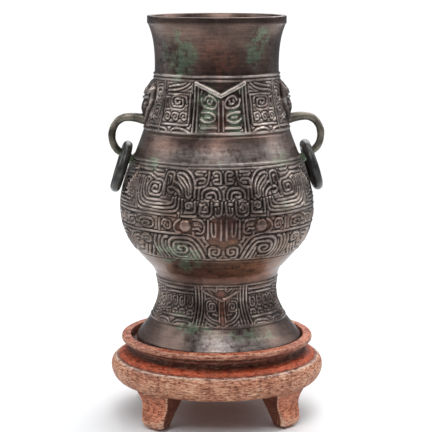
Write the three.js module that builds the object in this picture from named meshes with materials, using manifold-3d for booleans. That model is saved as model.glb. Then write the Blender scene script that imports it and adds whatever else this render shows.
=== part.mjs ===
// A cast bronze hu, the pear-shaped wine vase of ancient ritual sets, with bands of taotie ornament,
// two loop handles with drop rings, and the turned wooden stand that it rests in.
//
// Millimetres, +Z up. The origin is on the floor under the middle of the stand, and the front of the
// vase faces -Y. The two handles point along -X and +X.

import * as THREE from 'three';
import { mergeVertices } from 'three/addons/utils/BufferGeometryUtils.js';
import Module from 'manifold-3d';

const wasm = await Module();
wasm.setup();

// The turned wooden stand, from the floor up.
const STAND_LEG_HEIGHT = 21.6;
const STAND_BARREL_HEIGHT = 13.1;
const STAND_SHOULDER_HEIGHT = 3.7;
const STAND_COVE_HEIGHT = 5.3;
const STAND_RIM_HEIGHT = 4.0;
const STAND_BASE_RADIUS = 58.5;
const STAND_BARREL_RADIUS = 62.4;
const STAND_STEP_RADIUS = 59.3;
const STAND_LEDGE_RADIUS = 52.0;
const STAND_COVE_DEPTH = 1.6;
const STAND_RIM_RADIUS = 56.2;
const STAND_TURN = 0;
const RECESS_DEPTH = 5.0;
const RECESS_EASE = 2.5;

// The four legs, sawn out of one turned ring under the barrel.
const LEG_COUNT = 4;
const LEG_WIDTH = 22.6;
const LEG_ROOT_WIDTH = 27;
const LEG_ANKLE_WIDTH = 18.8;
const LEG_TOE_WIDTH = 16.6;
const LEG_SOLE_WIDTH = 11;
const LEG_ROOT_DEPTH = 12.1;
const LEG_ROOT_SINK = 2;
const LEG_ANKLE_HEIGHT = 13;
const LEG_ANKLE_INSET = 3.5;
const LEG_TOE_HEIGHT = 4;
const LEG_TOE_INSET = 0.3;
const LEG_TOE_ROUND = 4.5;
const LEG_SOLE_DEPTH = 4.5;

// The vase: heights above its own base, and radii of the outside.
const VASE_HEIGHT = 190.5;
const FOOT_RADIUS = 48.3;
const FOOT_EDGE_HEIGHT = 4.4;
const FOOT_EDGE_STEP = 0.3;
const FOOT_SET = 1.3;
const WAIST_HEIGHT = 30.3;
const WAIST_RADIUS = 34.1;
const FILLET_HEIGHT = 41.0;
const FILLET_RADIUS = 35.7;
const FILLET_STEP = 1.9;
const FILLET_RUN = 4.3;
const BELLY_HEIGHT = 81.3;
const BELLY_RADIUS = 55.6;
const NECK_HEIGHT = 163.3;
const NECK_RADIUS = 35.7;
const LIP_HEIGHT = 4.7;
const LIP_RADIUS = 40.0;
const LIP_STEP = 0.5;
const WALL = 2.8;
const FLOOR_HEIGHT = 36.0;

// The three ornament bands: lower and upper border, above the base of the vase.
const FOOT_BAND = [16.2, 39.6];
const BELLY_BAND = [57.0, 109.6];
const NECK_BAND = [126.4, 157.4];
const NECK_TURN = -0.7;
const BORDER_WIDTH = 1.6;
const BORDER_RISE = 0.6;
const RELIEF = 1.0;
const RELIEF_ROOT = 0.7;
const LINE = 3.0;
const STEP = 9;
const EYE_RADIUS = 3.6;
const EYE_RISE = 2.2;

// The beast masks under the handles, on the neck band.
const MASK_WIDTH = 25;
const MASK_RISE = 3.4;
const SNOUT_RISE = 5.2;

// The handles and their rings.
const LOOP_WIRE = 4.0;
const LOOP_EYE_OUT = 51.2;
const LOOP_EYE_HEIGHT = 121.5;
const LOOP_HALF_WIDTH = 9.5;
const LOOP_HALF_HEIGHT = 10.9;
const LOOP_FOOT_DROP = 14.6;
const RING_SEAT = -78;
const RING_WIRE = 5.8;
const RING_OUTSIDE = 30.9;

// Clearances between touching pieces.
const REST_GAP = 0.3;
const JOINT_GAP = 0.3;

// Facets round each turned piece.
const VASE_SIDES = 32;
const CAVITY_SIDES = 18;
const STAND_SIDES = 32;

const standTop = STAND_LEG_HEIGHT + STAND_BARREL_HEIGHT + STAND_SHOULDER_HEIGHT + STAND_COVE_HEIGHT
  + STAND_RIM_HEIGHT;
const recessFloor = standTop - RECESS_DEPTH;
const vaseBase = recessFloor + REST_GAP;
const quarterTurn = Math.PI / 2;

const patinatedBronze = { color: 0x4a3f38, roughness: 0.55, metalness: 0.8 };
const darkBronze = { color: 0x2f2b29, roughness: 0.4, metalness: 0.85 };
const wornLacquer = { color: 0x9a5f44, roughness: 0.6, metalness: 0.0 };

function mesh(name, geometry, finish) {
  const piece = new THREE.Mesh(geometry, new THREE.MeshStandardMaterial(finish));
  piece.name = name;
  return piece;
}

// Closed geometry to a solid, and back.
function solid(geometry) {
  const bare = geometry.clone();
  for (const name of Object.keys(bare.attributes)) {
    if (name !== 'position') bare.deleteAttribute(name);
  }
  const merged = mergeVertices(bare, 1e-4);
  return new wasm.Manifold(new wasm.Mesh({
    numProp: 3,
    vertProperties: new Float32Array(merged.attributes.position.array),
    triVerts: new Uint32Array(merged.index.array),
  }));
}

function geometryOf(body) {
  const result = body.getMesh();
  const geometry = new THREE.BufferGeometry();
  geometry.setAttribute('position', new THREE.BufferAttribute(result.vertProperties, 3));
  geometry.setIndex(new THREE.BufferAttribute(result.triVerts, 1));
  return geometry;
}

// A turned solid about the Z axis, from [radius, height] points that start and end on the axis or
// close on themselves, going up on the outside.
function turned(points, sides) {
  const profile = points.map(([radius, height]) => new THREE.Vector2(radius, height));
  return new THREE.LatheGeometry(profile, sides).rotateX(quarterTurn);
}

// Points of a smooth curve from one [radius, height] to another, with the two pull points between.
function sweepOf(start, pullStart, pullEnd, end, count) {
  const curve = new THREE.CubicBezierCurve(...[start, pullStart, pullEnd, end].map(
    ([radius, height]) => new THREE.Vector2(radius, height)));
  return curve.getPoints(count).map((point) => [point.x, point.y]);
}

// A height or radius at a share of the way from one to another.
function along(from, to, share) {
  return from + (to - from) * share;
}

// The outline of the vase from the base of its foot to its lip, in heights above its base. Each
// sweep is pulled along its way by shares of its own length, so it stays one smooth curve.
function outline() {
  const lipBottom = VASE_HEIGHT - LIP_HEIGHT;
  const footFlare = sweepOf([FOOT_RADIUS - FOOT_EDGE_STEP, FOOT_EDGE_HEIGHT],
    [along(FOOT_RADIUS, WAIST_RADIUS, 0.37), along(FOOT_EDGE_HEIGHT, WAIST_HEIGHT, 0.26)],
    [WAIST_RADIUS + FOOT_EDGE_STEP, along(WAIST_HEIGHT, FOOT_EDGE_HEIGHT, 0.37)],
    [WAIST_RADIUS, WAIST_HEIGHT], 5);
  const filletTop = [FILLET_RADIUS + FILLET_STEP, FILLET_HEIGHT + FILLET_RUN];
  const underBelly = sweepOf(filletTop,
    [along(filletTop[0], BELLY_RADIUS, 0.58), along(filletTop[1], BELLY_HEIGHT, 0.305)],
    [BELLY_RADIUS, along(BELLY_HEIGHT, filletTop[1], 0.445)], [BELLY_RADIUS, BELLY_HEIGHT], 6);
  const shoulder = sweepOf([BELLY_RADIUS, BELLY_HEIGHT],
    [BELLY_RADIUS, along(BELLY_HEIGHT, NECK_HEIGHT, 0.274)],
    [NECK_RADIUS, along(NECK_HEIGHT, BELLY_HEIGHT, 0.476)], [NECK_RADIUS, NECK_HEIGHT], 8);
  const mouth = sweepOf([NECK_RADIUS, NECK_HEIGHT],
    [NECK_RADIUS, along(NECK_HEIGHT, lipBottom, 0.44)],
    [along(NECK_RADIUS, LIP_RADIUS, 0.3), along(NECK_HEIGHT, lipBottom, 0.76)],
    [LIP_RADIUS - LIP_STEP, lipBottom], 3);
  return [
    [FOOT_RADIUS, 0],
    ...footFlare,
    [FILLET_RADIUS, FILLET_HEIGHT],
    ...underBelly,
    ...shoulder.slice(1),
    ...mouth.slice(1),
    [LIP_RADIUS, VASE_HEIGHT - LIP_HEIGHT + LIP_STEP],
    [LIP_RADIUS, VASE_HEIGHT],
  ];
}

// The outline with a raised border line at both edges of each ornament band.
function borderedOutline() {
  const edges = [...FOOT_BAND, ...BELLY_BAND, ...NECK_BAND];
  const clear = wallPoints.filter(([, height]) => (
    edges.every((edge) => Math.abs(height - edge) > 3 * BORDER_WIDTH)));
  const ridges = edges.flatMap((edge) => [
    [radiusAt(edge - BORDER_WIDTH / 2), edge - BORDER_WIDTH / 2],
    [radiusAt(edge) + BORDER_RISE, edge],
    [radiusAt(edge + BORDER_WIDTH / 2), edge + BORDER_WIDTH / 2],
  ]);
  return [...clear, ...ridges].sort((first, second) => first[1] - second[1]);
}

const wallPoints = outline();

// Outside radius of the wall at a height above the base of the vase.
function radiusAt(height) {
  const upper = wallPoints.findIndex((point) => point[1] >= height);
  const [r1, h1] = wallPoints[upper];
  if (upper === 0) return r1;
  const [r0, h0] = wallPoints[upper - 1];
  return r0 + (r1 - r0) * (height - h0) / (h1 - h0);
}

// The same outline moved square to the wall by a distance, inward when it is negative.
function outlineMoved(distance) {
  return wallPoints.map(([radius, height], index) => {
    const before = wallPoints[Math.max(index - 1, 0)];
    const after = wallPoints[Math.min(index + 1, wallPoints.length - 1)];
    const run = Math.hypot(after[0] - before[0], after[1] - before[1]);
    return [
      radius + distance * (after[1] - before[1]) / run,
      height - distance * (after[0] - before[0]) / run,
    ];
  });
}

// Bends a flat drawing round the wall. Its x runs round the vase in millimetres from a bearing in
// radians, its y runs up in millimetres from a height, and its z stands out from the wall.
function wrapped(geometry, bearing, height, girthRadius) {
  const position = geometry.attributes.position;
  for (let i = 0; i < position.count; i += 1) {
    const angle = bearing + position.getX(i) / girthRadius;
    const up = height + position.getY(i);
    const radius = radiusAt(up) + position.getZ(i);
    position.setXYZ(i, radius * Math.sin(angle), -radius * Math.cos(angle), up);
  }
  return geometry;
}

// Points added along a line, so that no step of it is longer than a reach.
function stepped(points, reach) {
  return points.flatMap(([x, y], index) => {
    if (index === 0) return [[x, y]];
    const [fromX, fromY] = points[index - 1];
    const count = Math.ceil(Math.hypot(x - fromX, y - fromY) / reach);
    return Array.from({ length: count }, (unused, step) => [
      fromX + (x - fromX) * (step + 1) / count,
      fromY + (y - fromY) * (step + 1) / count,
    ]);
  });
}

// A raised line of even width along flat points, mitred at its corners: a bar with a pitched back,
// whose foot is sunk in the wall.
function raisedLine(points, width, rise) {
  const corners = [];
  points.forEach(([x, y], index) => {
    const before = points[Math.max(index - 1, 0)];
    const after = points[Math.min(index + 1, points.length - 1)];
    const into = Math.atan2(y - before[1], x - before[0]);
    const out = Math.atan2(after[1] - y, after[0] - x);
    const turn = index === 0 || index === points.length - 1 ? 0 : out - into;
    const half = Math.atan2(Math.sin(turn), Math.cos(turn)) / 2;
    const side = (index === 0 ? out : into) + half + quarterTurn;
    const reach = width / 2 / Math.cos(half);
    const across = [reach * Math.cos(side), reach * Math.sin(side)];
    corners.push(x - across[0], y - across[1], -RELIEF_ROOT);
    corners.push(x, y, rise);
    corners.push(x + across[0], y + across[1], -RELIEF_ROOT);
  });
  const edges = 3;
  const end = edges * (points.length - 1);
  const faces = [0, 1, 2, end, end + 2, end + 1];
  for (let start = 0; start < end; start += edges) {
    for (let edge = 0; edge < edges; edge += 1) {
      const here = start + edge;
      const beside = start + (edge + 1) % edges;
      faces.push(here, beside + edges, beside, here, here + edges, beside + edges);
    }
  }
  const geometry = new THREE.BufferGeometry();
  geometry.setAttribute('position', new THREE.Float32BufferAttribute(corners, 3));
  geometry.setIndex(faces);
  return geometry;
}

// A scroll: a rounded square spiral that winds in from its outer corner.
function scroll(centreX, centreY, size, turns, start, sense) {
  const steps = Math.round(turns * 8);
  const points = [];
  for (let step = 0; step <= steps; step += 1) {
    const angle = start + sense * step * Math.PI / 4;
    const shrink = 1 - 0.78 * step / steps;
    const square = 1 + 0.16 * Math.abs(Math.sin(2 * angle));
    points.push([
      centreX + size * shrink * square * Math.cos(angle),
      centreY + size * shrink * square * Math.sin(angle),
    ]);
  }
  return points;
}

// A band of ornament. Its drawing is in shares of a quarter turn from the front and shares of the
// band's height, and it is repeated in mirror image on the front and the back.
class Band {
  constructor([bottom, top], offset) {
    this.bottom = bottom;
    this.height = top - bottom;
    this.girth = radiusAt((bottom + top) / 2);
    this.quarter = this.girth * quarterTurn;
    this.offset = THREE.MathUtils.degToRad(offset);
    this.pieces = [];
  }

  onEachQuarter(build) {
    for (const face of [0, Math.PI]) {
      for (const mirror of [1, -1]) {
        const bearing = face + this.offset;
        this.pieces.push(solid(wrapped(build(mirror), bearing, this.bottom, this.girth)));
      }
    }
  }

  line(points, width = LINE, rise = RELIEF) {
    this.onEachQuarter((mirror) => raisedLine(stepped(
      points.map(([x, y]) => [mirror * x * this.quarter, y * this.height]), STEP), width, rise));
  }

  scroll(x, y, size, turns, start, sense) {
    const drawn = scroll(x * this.quarter, y * this.height, size, turns, start, sense);
    this.onEachQuarter((mirror) => raisedLine(
      drawn.map(([across, up]) => [mirror * across, up]), LINE, RELIEF));
  }

  eye(x, y, radius, rise) {
    const dome = [[0, -RELIEF_ROOT], [radius, -RELIEF_ROOT], [0.72 * radius, 0.8 * rise], [0, rise]];
    this.onEachQuarter((mirror) => turned(dome, 7)
      .translate(mirror * x * this.quarter, y * this.height, 0));
  }
}

function bellyOrnament() {
  const band = new Band(BELLY_BAND, 0);
  // Horn scrolls over the face, jaw scrolls under it, and scrolls at the cheeks.
  band.scroll(0.47, 0.76, 7.0, 1.125, -0.75 * Math.PI, -1);
  band.scroll(0.29, 0.17, 6.2, 1.125, 0.25 * Math.PI, 1);
  band.scroll(0.60, 0.41, 5.4, 0.75, 0.25 * Math.PI, 1);
  // The eye with its lid, which runs out into the cheek, and the brow arch over it.
  band.eye(0.25, 0.39, EYE_RADIUS, EYE_RISE);
  band.line([[0.12, 0.34], [0.18, 0.49], [0.31, 0.50], [0.42, 0.36]]);
  band.line([[0.04, 0.56], [0.07, 0.76], [0.18, 0.76], [0.22, 0.66]]);
  return band.pieces;
}

function neckOrnament() {
  const band = new Band(NECK_BAND, NECK_TURN);
  // The beast face of the middle panel: a thick V of brows, eyes below it, and the panel's edges.
  band.line([[0, 0.62], [0.225, 0.90]], 1.3 * LINE, 1.4 * RELIEF);
  band.line([[0.245, 0.05], [0.245, 0.95]]);
  band.line([[0.06, 0.46], [0.07, 0.62], [0.18, 0.60]]);
  band.scroll(0.46, 0.52, 5.8, 1.125, 0.25 * Math.PI, 1);
  return band.pieces;
}

function footOrnament() {
  const band = new Band(FOOT_BAND, 0);
  // The same face drawn small: the V, the panel's edges, and a scroll at each side.
  band.line([[0, 0.62], [0.19, 0.86]]);
  band.line([[0.25, 0.06], [0.25, 0.94]]);
  band.scroll(0.46, 0.55, 4.8, 0.875, 0.25 * Math.PI, 1);
  return band.pieces;
}

// A beast mask in higher relief under each handle: a broad face plate with horns, eyes and a snout
// that the handle springs from. The grown copy of it cuts the handle's end back.
function maskPieces(bearing, grow) {
  const bottom = NECK_BAND[0] + 1.2;
  const height = NECK_BAND[1] - NECK_BAND[0] - 2.4;
  const girth = radiusAt(bottom + height / 2);
  const half = MASK_WIDTH / 2;
  const plates = [];
  const plate = (points, rise) => {
    const shape = new THREE.Shape(points.map(([x, y]) => new THREE.Vector2(
      x * (half + grow), y * height + Math.sign(y - 0.5) * grow)));
    const geometry = new THREE.ExtrudeGeometry(shape, {
      depth: rise + grow + 1.4, bevelEnabled: false,
    });
    geometry.translate(0, 0, -1.4);
    plates.push(solid(wrapped(geometry, bearing, bottom, girth)));
  };
  for (const side of [1, -1]) {
    plate([[0, 0.10], [side * 0.55, 0.16], [side * 0.92, 0.48], [side, 0.80], [side * 0.55, 0.66],
      [0, 0.72]], MASK_RISE * 0.62);
    plate([[side * 0.16, 0.62], [side * 0.62, 0.58], [side * 0.96, 0.82], [side * 0.80, 0.99],
      [side * 0.30, 0.92]], MASK_RISE);
    plate([[side * 0.24, 0.36], [side * 0.56, 0.36], [side * 0.62, 0.54], [side * 0.26, 0.54]],
      MASK_RISE);
  }
  plate([[-0.20, 0.02], [0.20, 0.02], [0.26, 0.30], [0.16, 0.66], [-0.16, 0.66], [-0.26, 0.30]],
    SNOUT_RISE);
  return plates;
}

const maskBearings = [quarterTurn, -quarterTurn];

// Sets the lower part of the foot a little towards +X, as the old casting sits.
function setFoot(body) {
  return body.warp((point) => {
    const drop = Math.max(0, (WAIST_HEIGHT + 10 - point[2]) / (WAIST_HEIGHT + 10));
    point[0] += FOOT_SET * drop;
  });
}

// The vase in one casting: wall, hollow foot, ornament and masks.
function vaseBody() {
  const outside = turned([[0, 0], ...borderedOutline(), [0, VASE_HEIGHT]], VASE_SIDES);
  const inner = outlineMoved(-WALL).filter(([, height]) => height > FLOOR_HEIGHT + WALL + 1);
  const floorRadius = radiusAt(FLOOR_HEIGHT + WALL) - WALL - 1.5;
  const mouthRadius = LIP_RADIUS - WALL;
  const insideWall = inner.filter(([, height], index) => (
    height < VASE_HEIGHT - LIP_HEIGHT && index % 2 === 0));
  const cavity = turned([
    [0, FLOOR_HEIGHT + WALL],
    [floorRadius, FLOOR_HEIGHT + WALL],
    ...insideWall,
    [mouthRadius, VASE_HEIGHT - LIP_HEIGHT],
    [mouthRadius, VASE_HEIGHT + 5],
    [0, VASE_HEIGHT + 5],
  ], CAVITY_SIDES);
  const hollow = outlineMoved(-WALL).filter(([, height]) => height > 3 && height < WAIST_HEIGHT + 2);
  const footHollow = turned([
    [0, -5],
    [FOOT_RADIUS - WALL, -5],
    [FOOT_RADIUS - WALL, 1.5],
    ...hollow.filter((point, index) => index % 2 === 0),
    [WAIST_RADIUS - WALL - 1, FLOOR_HEIGHT - 1],
    [WAIST_RADIUS - WALL - 5, FLOOR_HEIGHT],
    [0, FLOOR_HEIGHT],
  ], CAVITY_SIDES);
  const masks = maskBearings.flatMap((bearing) => maskPieces(bearing, 0));
  const relief = [...bellyOrnament(), ...neckOrnament(), ...footOrnament(), ...masks];
  const dressed = relief.reduce((body, piece) => body.add(piece), solid(outside));
  return setFoot(dressed.subtract(solid(cavity)).subtract(solid(footHollow)));
}

// The space that the handles keep clear of: the wall and the masks, grown by the joint's gap.
function wallClearance() {
  const away = borderedOutline().map(([radius, height]) => [radius + JOINT_GAP * Math.SQRT2, height]);
  const grown = turned([[0, 0], ...away, [0, VASE_HEIGHT + 1]], VASE_SIDES);
  const masks = maskBearings.flatMap((bearing) => maskPieces(bearing, JOINT_GAP));
  return masks.reduce((body, piece) => body.add(piece), solid(grown));
}

// The centre line of a handle, in [distance out, height above the base of the vase]: out from the
// snout, round the eye, and back down to the shoulder.
function loopPoints() {
  const points = [
    [LOOP_EYE_OUT - LOOP_HALF_WIDTH - 1, LOOP_EYE_HEIGHT + LOOP_HALF_HEIGHT - 1.6],
    [LOOP_EYE_OUT - LOOP_HALF_WIDTH / 2, LOOP_EYE_HEIGHT + LOOP_HALF_HEIGHT - 0.3],
  ];
  for (let degrees = 75; degrees >= -75; degrees -= 30) {
    const angle = THREE.MathUtils.degToRad(degrees);
    points.push([
      LOOP_EYE_OUT + LOOP_HALF_WIDTH * Math.cos(angle),
      LOOP_EYE_HEIGHT + LOOP_HALF_HEIGHT * Math.sin(angle),
    ]);
  }
  const landing = LOOP_EYE_HEIGHT - LOOP_FOOT_DROP;
  points.push([radiusAt(landing) - 1, landing]);
  return points;
}

const loopLine = loopPoints();

function loopHandle(side, clearance) {
  const path = new THREE.CatmullRomCurve3(loopLine.map(
    ([out, up]) => new THREE.Vector3(side * out, 0, up)));
  const section = new THREE.Shape();
  section.absarc(0, 0, LOOP_WIRE / 2, 0, 2 * Math.PI);
  const tube = new THREE.ExtrudeGeometry(section, {
    extrudePath: path, steps: 14, curveSegments: 4, bevelEnabled: false,
  });
  return solid(tube).subtract(clearance);
}

// A ring hangs in the eye with its top wire on the handle's lower arm, and leans on the belly: the
// steepest hang at which the whole ring still clears the wall and its ornament.
const ringRadius = (RING_OUTSIDE - RING_WIRE) / 2;

function ringHang() {
  const bearing = THREE.MathUtils.degToRad(RING_SEAT);
  const arm = [LOOP_HALF_WIDTH * Math.cos(bearing), LOOP_HALF_HEIGHT * Math.sin(bearing)];
  const square = [Math.cos(bearing) / LOOP_HALF_WIDTH, Math.sin(bearing) / LOOP_HALF_HEIGHT];
  const lift = (LOOP_WIRE / 2 + RING_WIRE / 2 + REST_GAP) / Math.hypot(...square);
  const top = [
    LOOP_EYE_OUT + arm[0] - lift * square[0],
    LOOP_EYE_HEIGHT + arm[1] - lift * square[1],
  ];
  const clears = (tilt) => {
    for (let degrees = 0; degrees < 360; degrees += 10) {
      const angle = THREE.MathUtils.degToRad(degrees);
      const down = ringRadius * (1 - Math.cos(angle));
      const out = top[0] + down * Math.sin(tilt);
      const depth = ringRadius * Math.sin(angle);
      const height = top[1] - down * Math.cos(tilt);
      const relief = height < BELLY_BAND[1] + BORDER_WIDTH ? RELIEF : 0;
      const lean = Math.atan((radiusAt(height - 1) - radiusAt(height + 1)) / 2);
      const away = (Math.hypot(out, depth) - radiusAt(height)) * Math.cos(lean);
      if (away < RING_WIRE / 2 + relief + REST_GAP) return false;
    }
    return true;
  };
  let tilt = 0;
  while (!clears(tilt) && tilt < 0.9) tilt += 0.005;
  return { top, tilt };
}

function dropRing(name, side) {
  const { top, tilt } = ringHang();
  const ring = mesh(name, new THREE.TorusGeometry(ringRadius, RING_WIRE / 2, 8, 18), darkBronze);
  ring.rotation.y = side * (quarterTurn - tilt);
  ring.position.set(
    side * (top[0] + ringRadius * Math.sin(tilt)), 0, top[1] - ringRadius * Math.cos(tilt));
  return ring;
}

// The stand: one turned drum with a recess on top for the foot of the vase, and its legs.
function standBody() {
  const barrelTop = STAND_LEG_HEIGHT + STAND_BARREL_HEIGHT;
  const ledge = barrelTop + STAND_SHOULDER_HEIGHT;
  const rimBottom = ledge + STAND_COVE_HEIGHT;
  const recessRadius = FOOT_RADIUS + RECESS_EASE;
  const barrel = sweepOf([STAND_BASE_RADIUS, STAND_LEG_HEIGHT],
    [STAND_BARREL_RADIUS - 0.4, STAND_LEG_HEIGHT + 1.8],
    [STAND_BARREL_RADIUS + 2.4, barrelTop - 2.5], [STAND_STEP_RADIUS, barrelTop], 5);
  const coveRadius = STAND_LEDGE_RADIUS - STAND_COVE_DEPTH;
  const drum = turned([
    [0, STAND_LEG_HEIGHT],
    ...barrel,
    [STAND_STEP_RADIUS - 1.6, barrelTop + 0.4],
    [(STAND_STEP_RADIUS + STAND_LEDGE_RADIUS) / 2 - 0.4, ledge - 1.0],
    [STAND_LEDGE_RADIUS, ledge],
    [coveRadius, ledge + 1.2],
    [coveRadius, rimBottom],
    [STAND_RIM_RADIUS - 0.8, rimBottom + 0.4],
    [STAND_RIM_RADIUS, rimBottom + STAND_RIM_HEIGHT * 0.5],
    [STAND_RIM_RADIUS - 0.9, standTop - 0.4],
    [STAND_RIM_RADIUS - 2.0, standTop],
    [recessRadius, standTop],
    [recessRadius, recessFloor],
    [0, recessFloor],
  ], STAND_SIDES);
  return legs().reduce((body, leg) => body.add(leg), solid(drum));
}

// A ring turned with the leg's side view, and one tapered block for each leg to keep of it. A leg is
// deep at its root and curves out to a rounded toe, so its back slopes outward on the way down.
function legs() {
  const ankle = STAND_BASE_RADIUS - LEG_ANKLE_INSET;
  const toe = STAND_BASE_RADIUS - LEG_TOE_INSET;
  const sole = toe - LEG_TOE_ROUND;
  const heel = sole - LEG_SOLE_DEPTH;
  const root = STAND_LEG_HEIGHT + LEG_ROOT_SINK;
  const back = sweepOf([ankle - LEG_ROOT_DEPTH, root],
    [along(ankle - LEG_ROOT_DEPTH, heel, 0.2), along(root, 0, 0.25)],
    [along(ankle - LEG_ROOT_DEPTH, heel, 0.75), along(root, 0, 0.58)], [heel, 0], 4);
  const legRing = solid(turned([
    [heel, 0],
    [sole, 0],
    [along(sole, toe, 0.7), LEG_TOE_HEIGHT * 0.4],
    [toe, LEG_TOE_HEIGHT],
    [along(toe, ankle, 0.4), along(LEG_TOE_HEIGHT, LEG_ANKLE_HEIGHT, 0.45)],
    [ankle, LEG_ANKLE_HEIGHT],
    [along(ankle, STAND_BASE_RADIUS, 0.5), along(LEG_ANKLE_HEIGHT, STAND_LEG_HEIGHT, 0.65)],
    [STAND_BASE_RADIUS, STAND_LEG_HEIGHT],
    [STAND_BASE_RADIUS, root],
    ...back,
  ], STAND_SIDES));
  const halves = [
    [LEG_SOLE_WIDTH, -1],
    [LEG_SOLE_WIDTH, 0],
    [along(LEG_SOLE_WIDTH, LEG_TOE_WIDTH, 0.8), LEG_TOE_HEIGHT * 0.4],
    [LEG_TOE_WIDTH, LEG_TOE_HEIGHT],
    [LEG_ANKLE_WIDTH, LEG_ANKLE_HEIGHT - 2],
    [LEG_WIDTH, STAND_LEG_HEIGHT - 2],
    [LEG_ROOT_WIDTH, root + 1],
  ];
  const side = new THREE.Shape([
    ...halves.map(([width, height]) => new THREE.Vector2(width / 2, height)),
    ...[...halves].reverse().map(([width, height]) => new THREE.Vector2(-width / 2, height)),
  ]);
  const block = new THREE.ExtrudeGeometry(side, { depth: 2 * STAND_BASE_RADIUS, bevelEnabled: false })
    .rotateX(quarterTurn);
  const made = [];
  for (let index = 0; index < LEG_COUNT; index += 1) {
    const bearing = 2 * Math.PI * (index + 0.5) / LEG_COUNT + THREE.MathUtils.degToRad(STAND_TURN);
    made.push(legRing.intersect(solid(block.clone().rotateZ(bearing))));
  }
  return made;
}

const clearance = wallClearance();
const vase = new THREE.Group();
vase.position.z = vaseBase;
vase.add(mesh('vase_body', geometryOf(vaseBody()), patinatedBronze));
vase.add(mesh('loop_handle_left', geometryOf(loopHandle(-1, clearance)), patinatedBronze));
vase.add(mesh('loop_handle_right', geometryOf(loopHandle(1, clearance)), patinatedBronze));
vase.add(dropRing('drop_ring_left', -1));
vase.add(dropRing('drop_ring_right', 1));

const group = new THREE.Group();
group.add(vase);
group.add(mesh('wooden_stand', geometryOf(standBody()), wornLacquer));

export default group;
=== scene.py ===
# %% [markdown]
# # A cast bronze hu vase on its turned stand
#
# The real object is a pear-shaped wine vase of cast bronze, about 19 cm high, brown with age. Three
# bands of raised line ornament run round it, an animal mask on each side carries a loop handle with
# a loose drop ring, and the whole rests in the recess of a lacquered wooden stand on four legs.
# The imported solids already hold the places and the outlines. Here each one gets its finer surface.

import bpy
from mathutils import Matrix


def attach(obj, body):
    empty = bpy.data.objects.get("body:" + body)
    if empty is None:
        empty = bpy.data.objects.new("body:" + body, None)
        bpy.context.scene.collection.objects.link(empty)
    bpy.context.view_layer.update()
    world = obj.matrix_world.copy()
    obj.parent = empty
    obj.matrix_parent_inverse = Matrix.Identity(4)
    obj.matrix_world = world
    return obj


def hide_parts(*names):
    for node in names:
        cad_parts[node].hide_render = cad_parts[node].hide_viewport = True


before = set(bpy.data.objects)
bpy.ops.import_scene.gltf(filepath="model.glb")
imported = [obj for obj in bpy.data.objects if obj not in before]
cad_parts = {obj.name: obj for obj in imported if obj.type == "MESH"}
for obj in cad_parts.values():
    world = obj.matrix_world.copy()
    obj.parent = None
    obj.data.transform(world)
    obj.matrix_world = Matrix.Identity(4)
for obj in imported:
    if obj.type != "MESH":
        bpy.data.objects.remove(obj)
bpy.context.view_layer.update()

import math

import bmesh
import bpy
import numpy as np
from mathutils import Vector

MM = 0.001

# %% [markdown]
# Two small tools serve every step below. A colour is written as the hex value that a paint chart
# would show, and Blender's shaders want it linear. A node tree is easiest to read when each node is
# added on one line, with its settings and with what is plugged into it, so one function does that
# for shader trees and geometry trees alike.

# %% Small tools
def colour(hex_value):
    """An sRGB hex colour as the linear RGBA that shaders use."""
    parts = [int(hex_value[i:i + 2], 16) / 255 for i in (1, 3, 5)]
    return [p / 12.92 if p <= 0.04045 else ((p + 0.055) / 1.055) ** 2.4 for p in parts] + [1.0]


def add(tree, kind, settings=None, plugs=None):
    """Adds a node. A plug's value is another node's output, or a plain value for the socket."""
    node = tree.nodes.new(kind)
    for name, value in (settings or {}).items():
        setattr(node, name, value)
    for socket, value in (plugs or {}).items():
        if isinstance(value, bpy.types.NodeSocket):
            tree.links.new(value, node.inputs[socket])
        else:
            node.inputs[socket].default_value = value
    return node


def put(name, data):
    """An object at the origin, with its place in its own data."""
    thing = bpy.data.objects.new(name, data)
    bpy.context.collection.objects.link(thing)
    return thing


def count_triangles(mesh):
    """Says how heavy a piece has become."""
    print(mesh.name, "triangles:", sum(len(face.vertices) - 2 for face in mesh.polygons))


TIMES = {"operation": "MULTIPLY"}
COLOURS = {"data_type": "RGBA"}
print("a mid grey of #808080 is", round(colour("#808080")[0], 3), "in linear light")

# %% [markdown]
# ## The sizes
#
# The camera, the vase and the stand all come from the same few measured sizes, in millimetres above
# the floor. The vase was cast as one hollow body, so its outside is one smooth outline turned round
# the Z axis. Bezier curves give that outline, the way a founder's template would be drawn.

# %% The outline of the vase
VASE_BASE = 43.0
VASE_HEIGHT = 190.5
WALL = 2.8
FLOOR_TOP = 36.0
FOOT_BAND = (16.2, 39.6)
BELLY_BAND = (57.0, 109.6)
NECK_BAND = (126.4, 157.4)
FOOT_SET = 1.3
FOOT_SET_TOP = 40.3
NECK_TURN = -0.7


def bezier(a, b, c, d, count):
    """Points along one cubic Bezier curve."""
    t = np.linspace(0, 1, count + 1)[:, None]
    a, b, c, d = (np.array(point, float) for point in (a, b, c, d))
    return (1 - t) ** 3 * a + 3 * t * (1 - t) ** 2 * b + 3 * t * t * (1 - t) * c + t ** 3 * d


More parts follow.
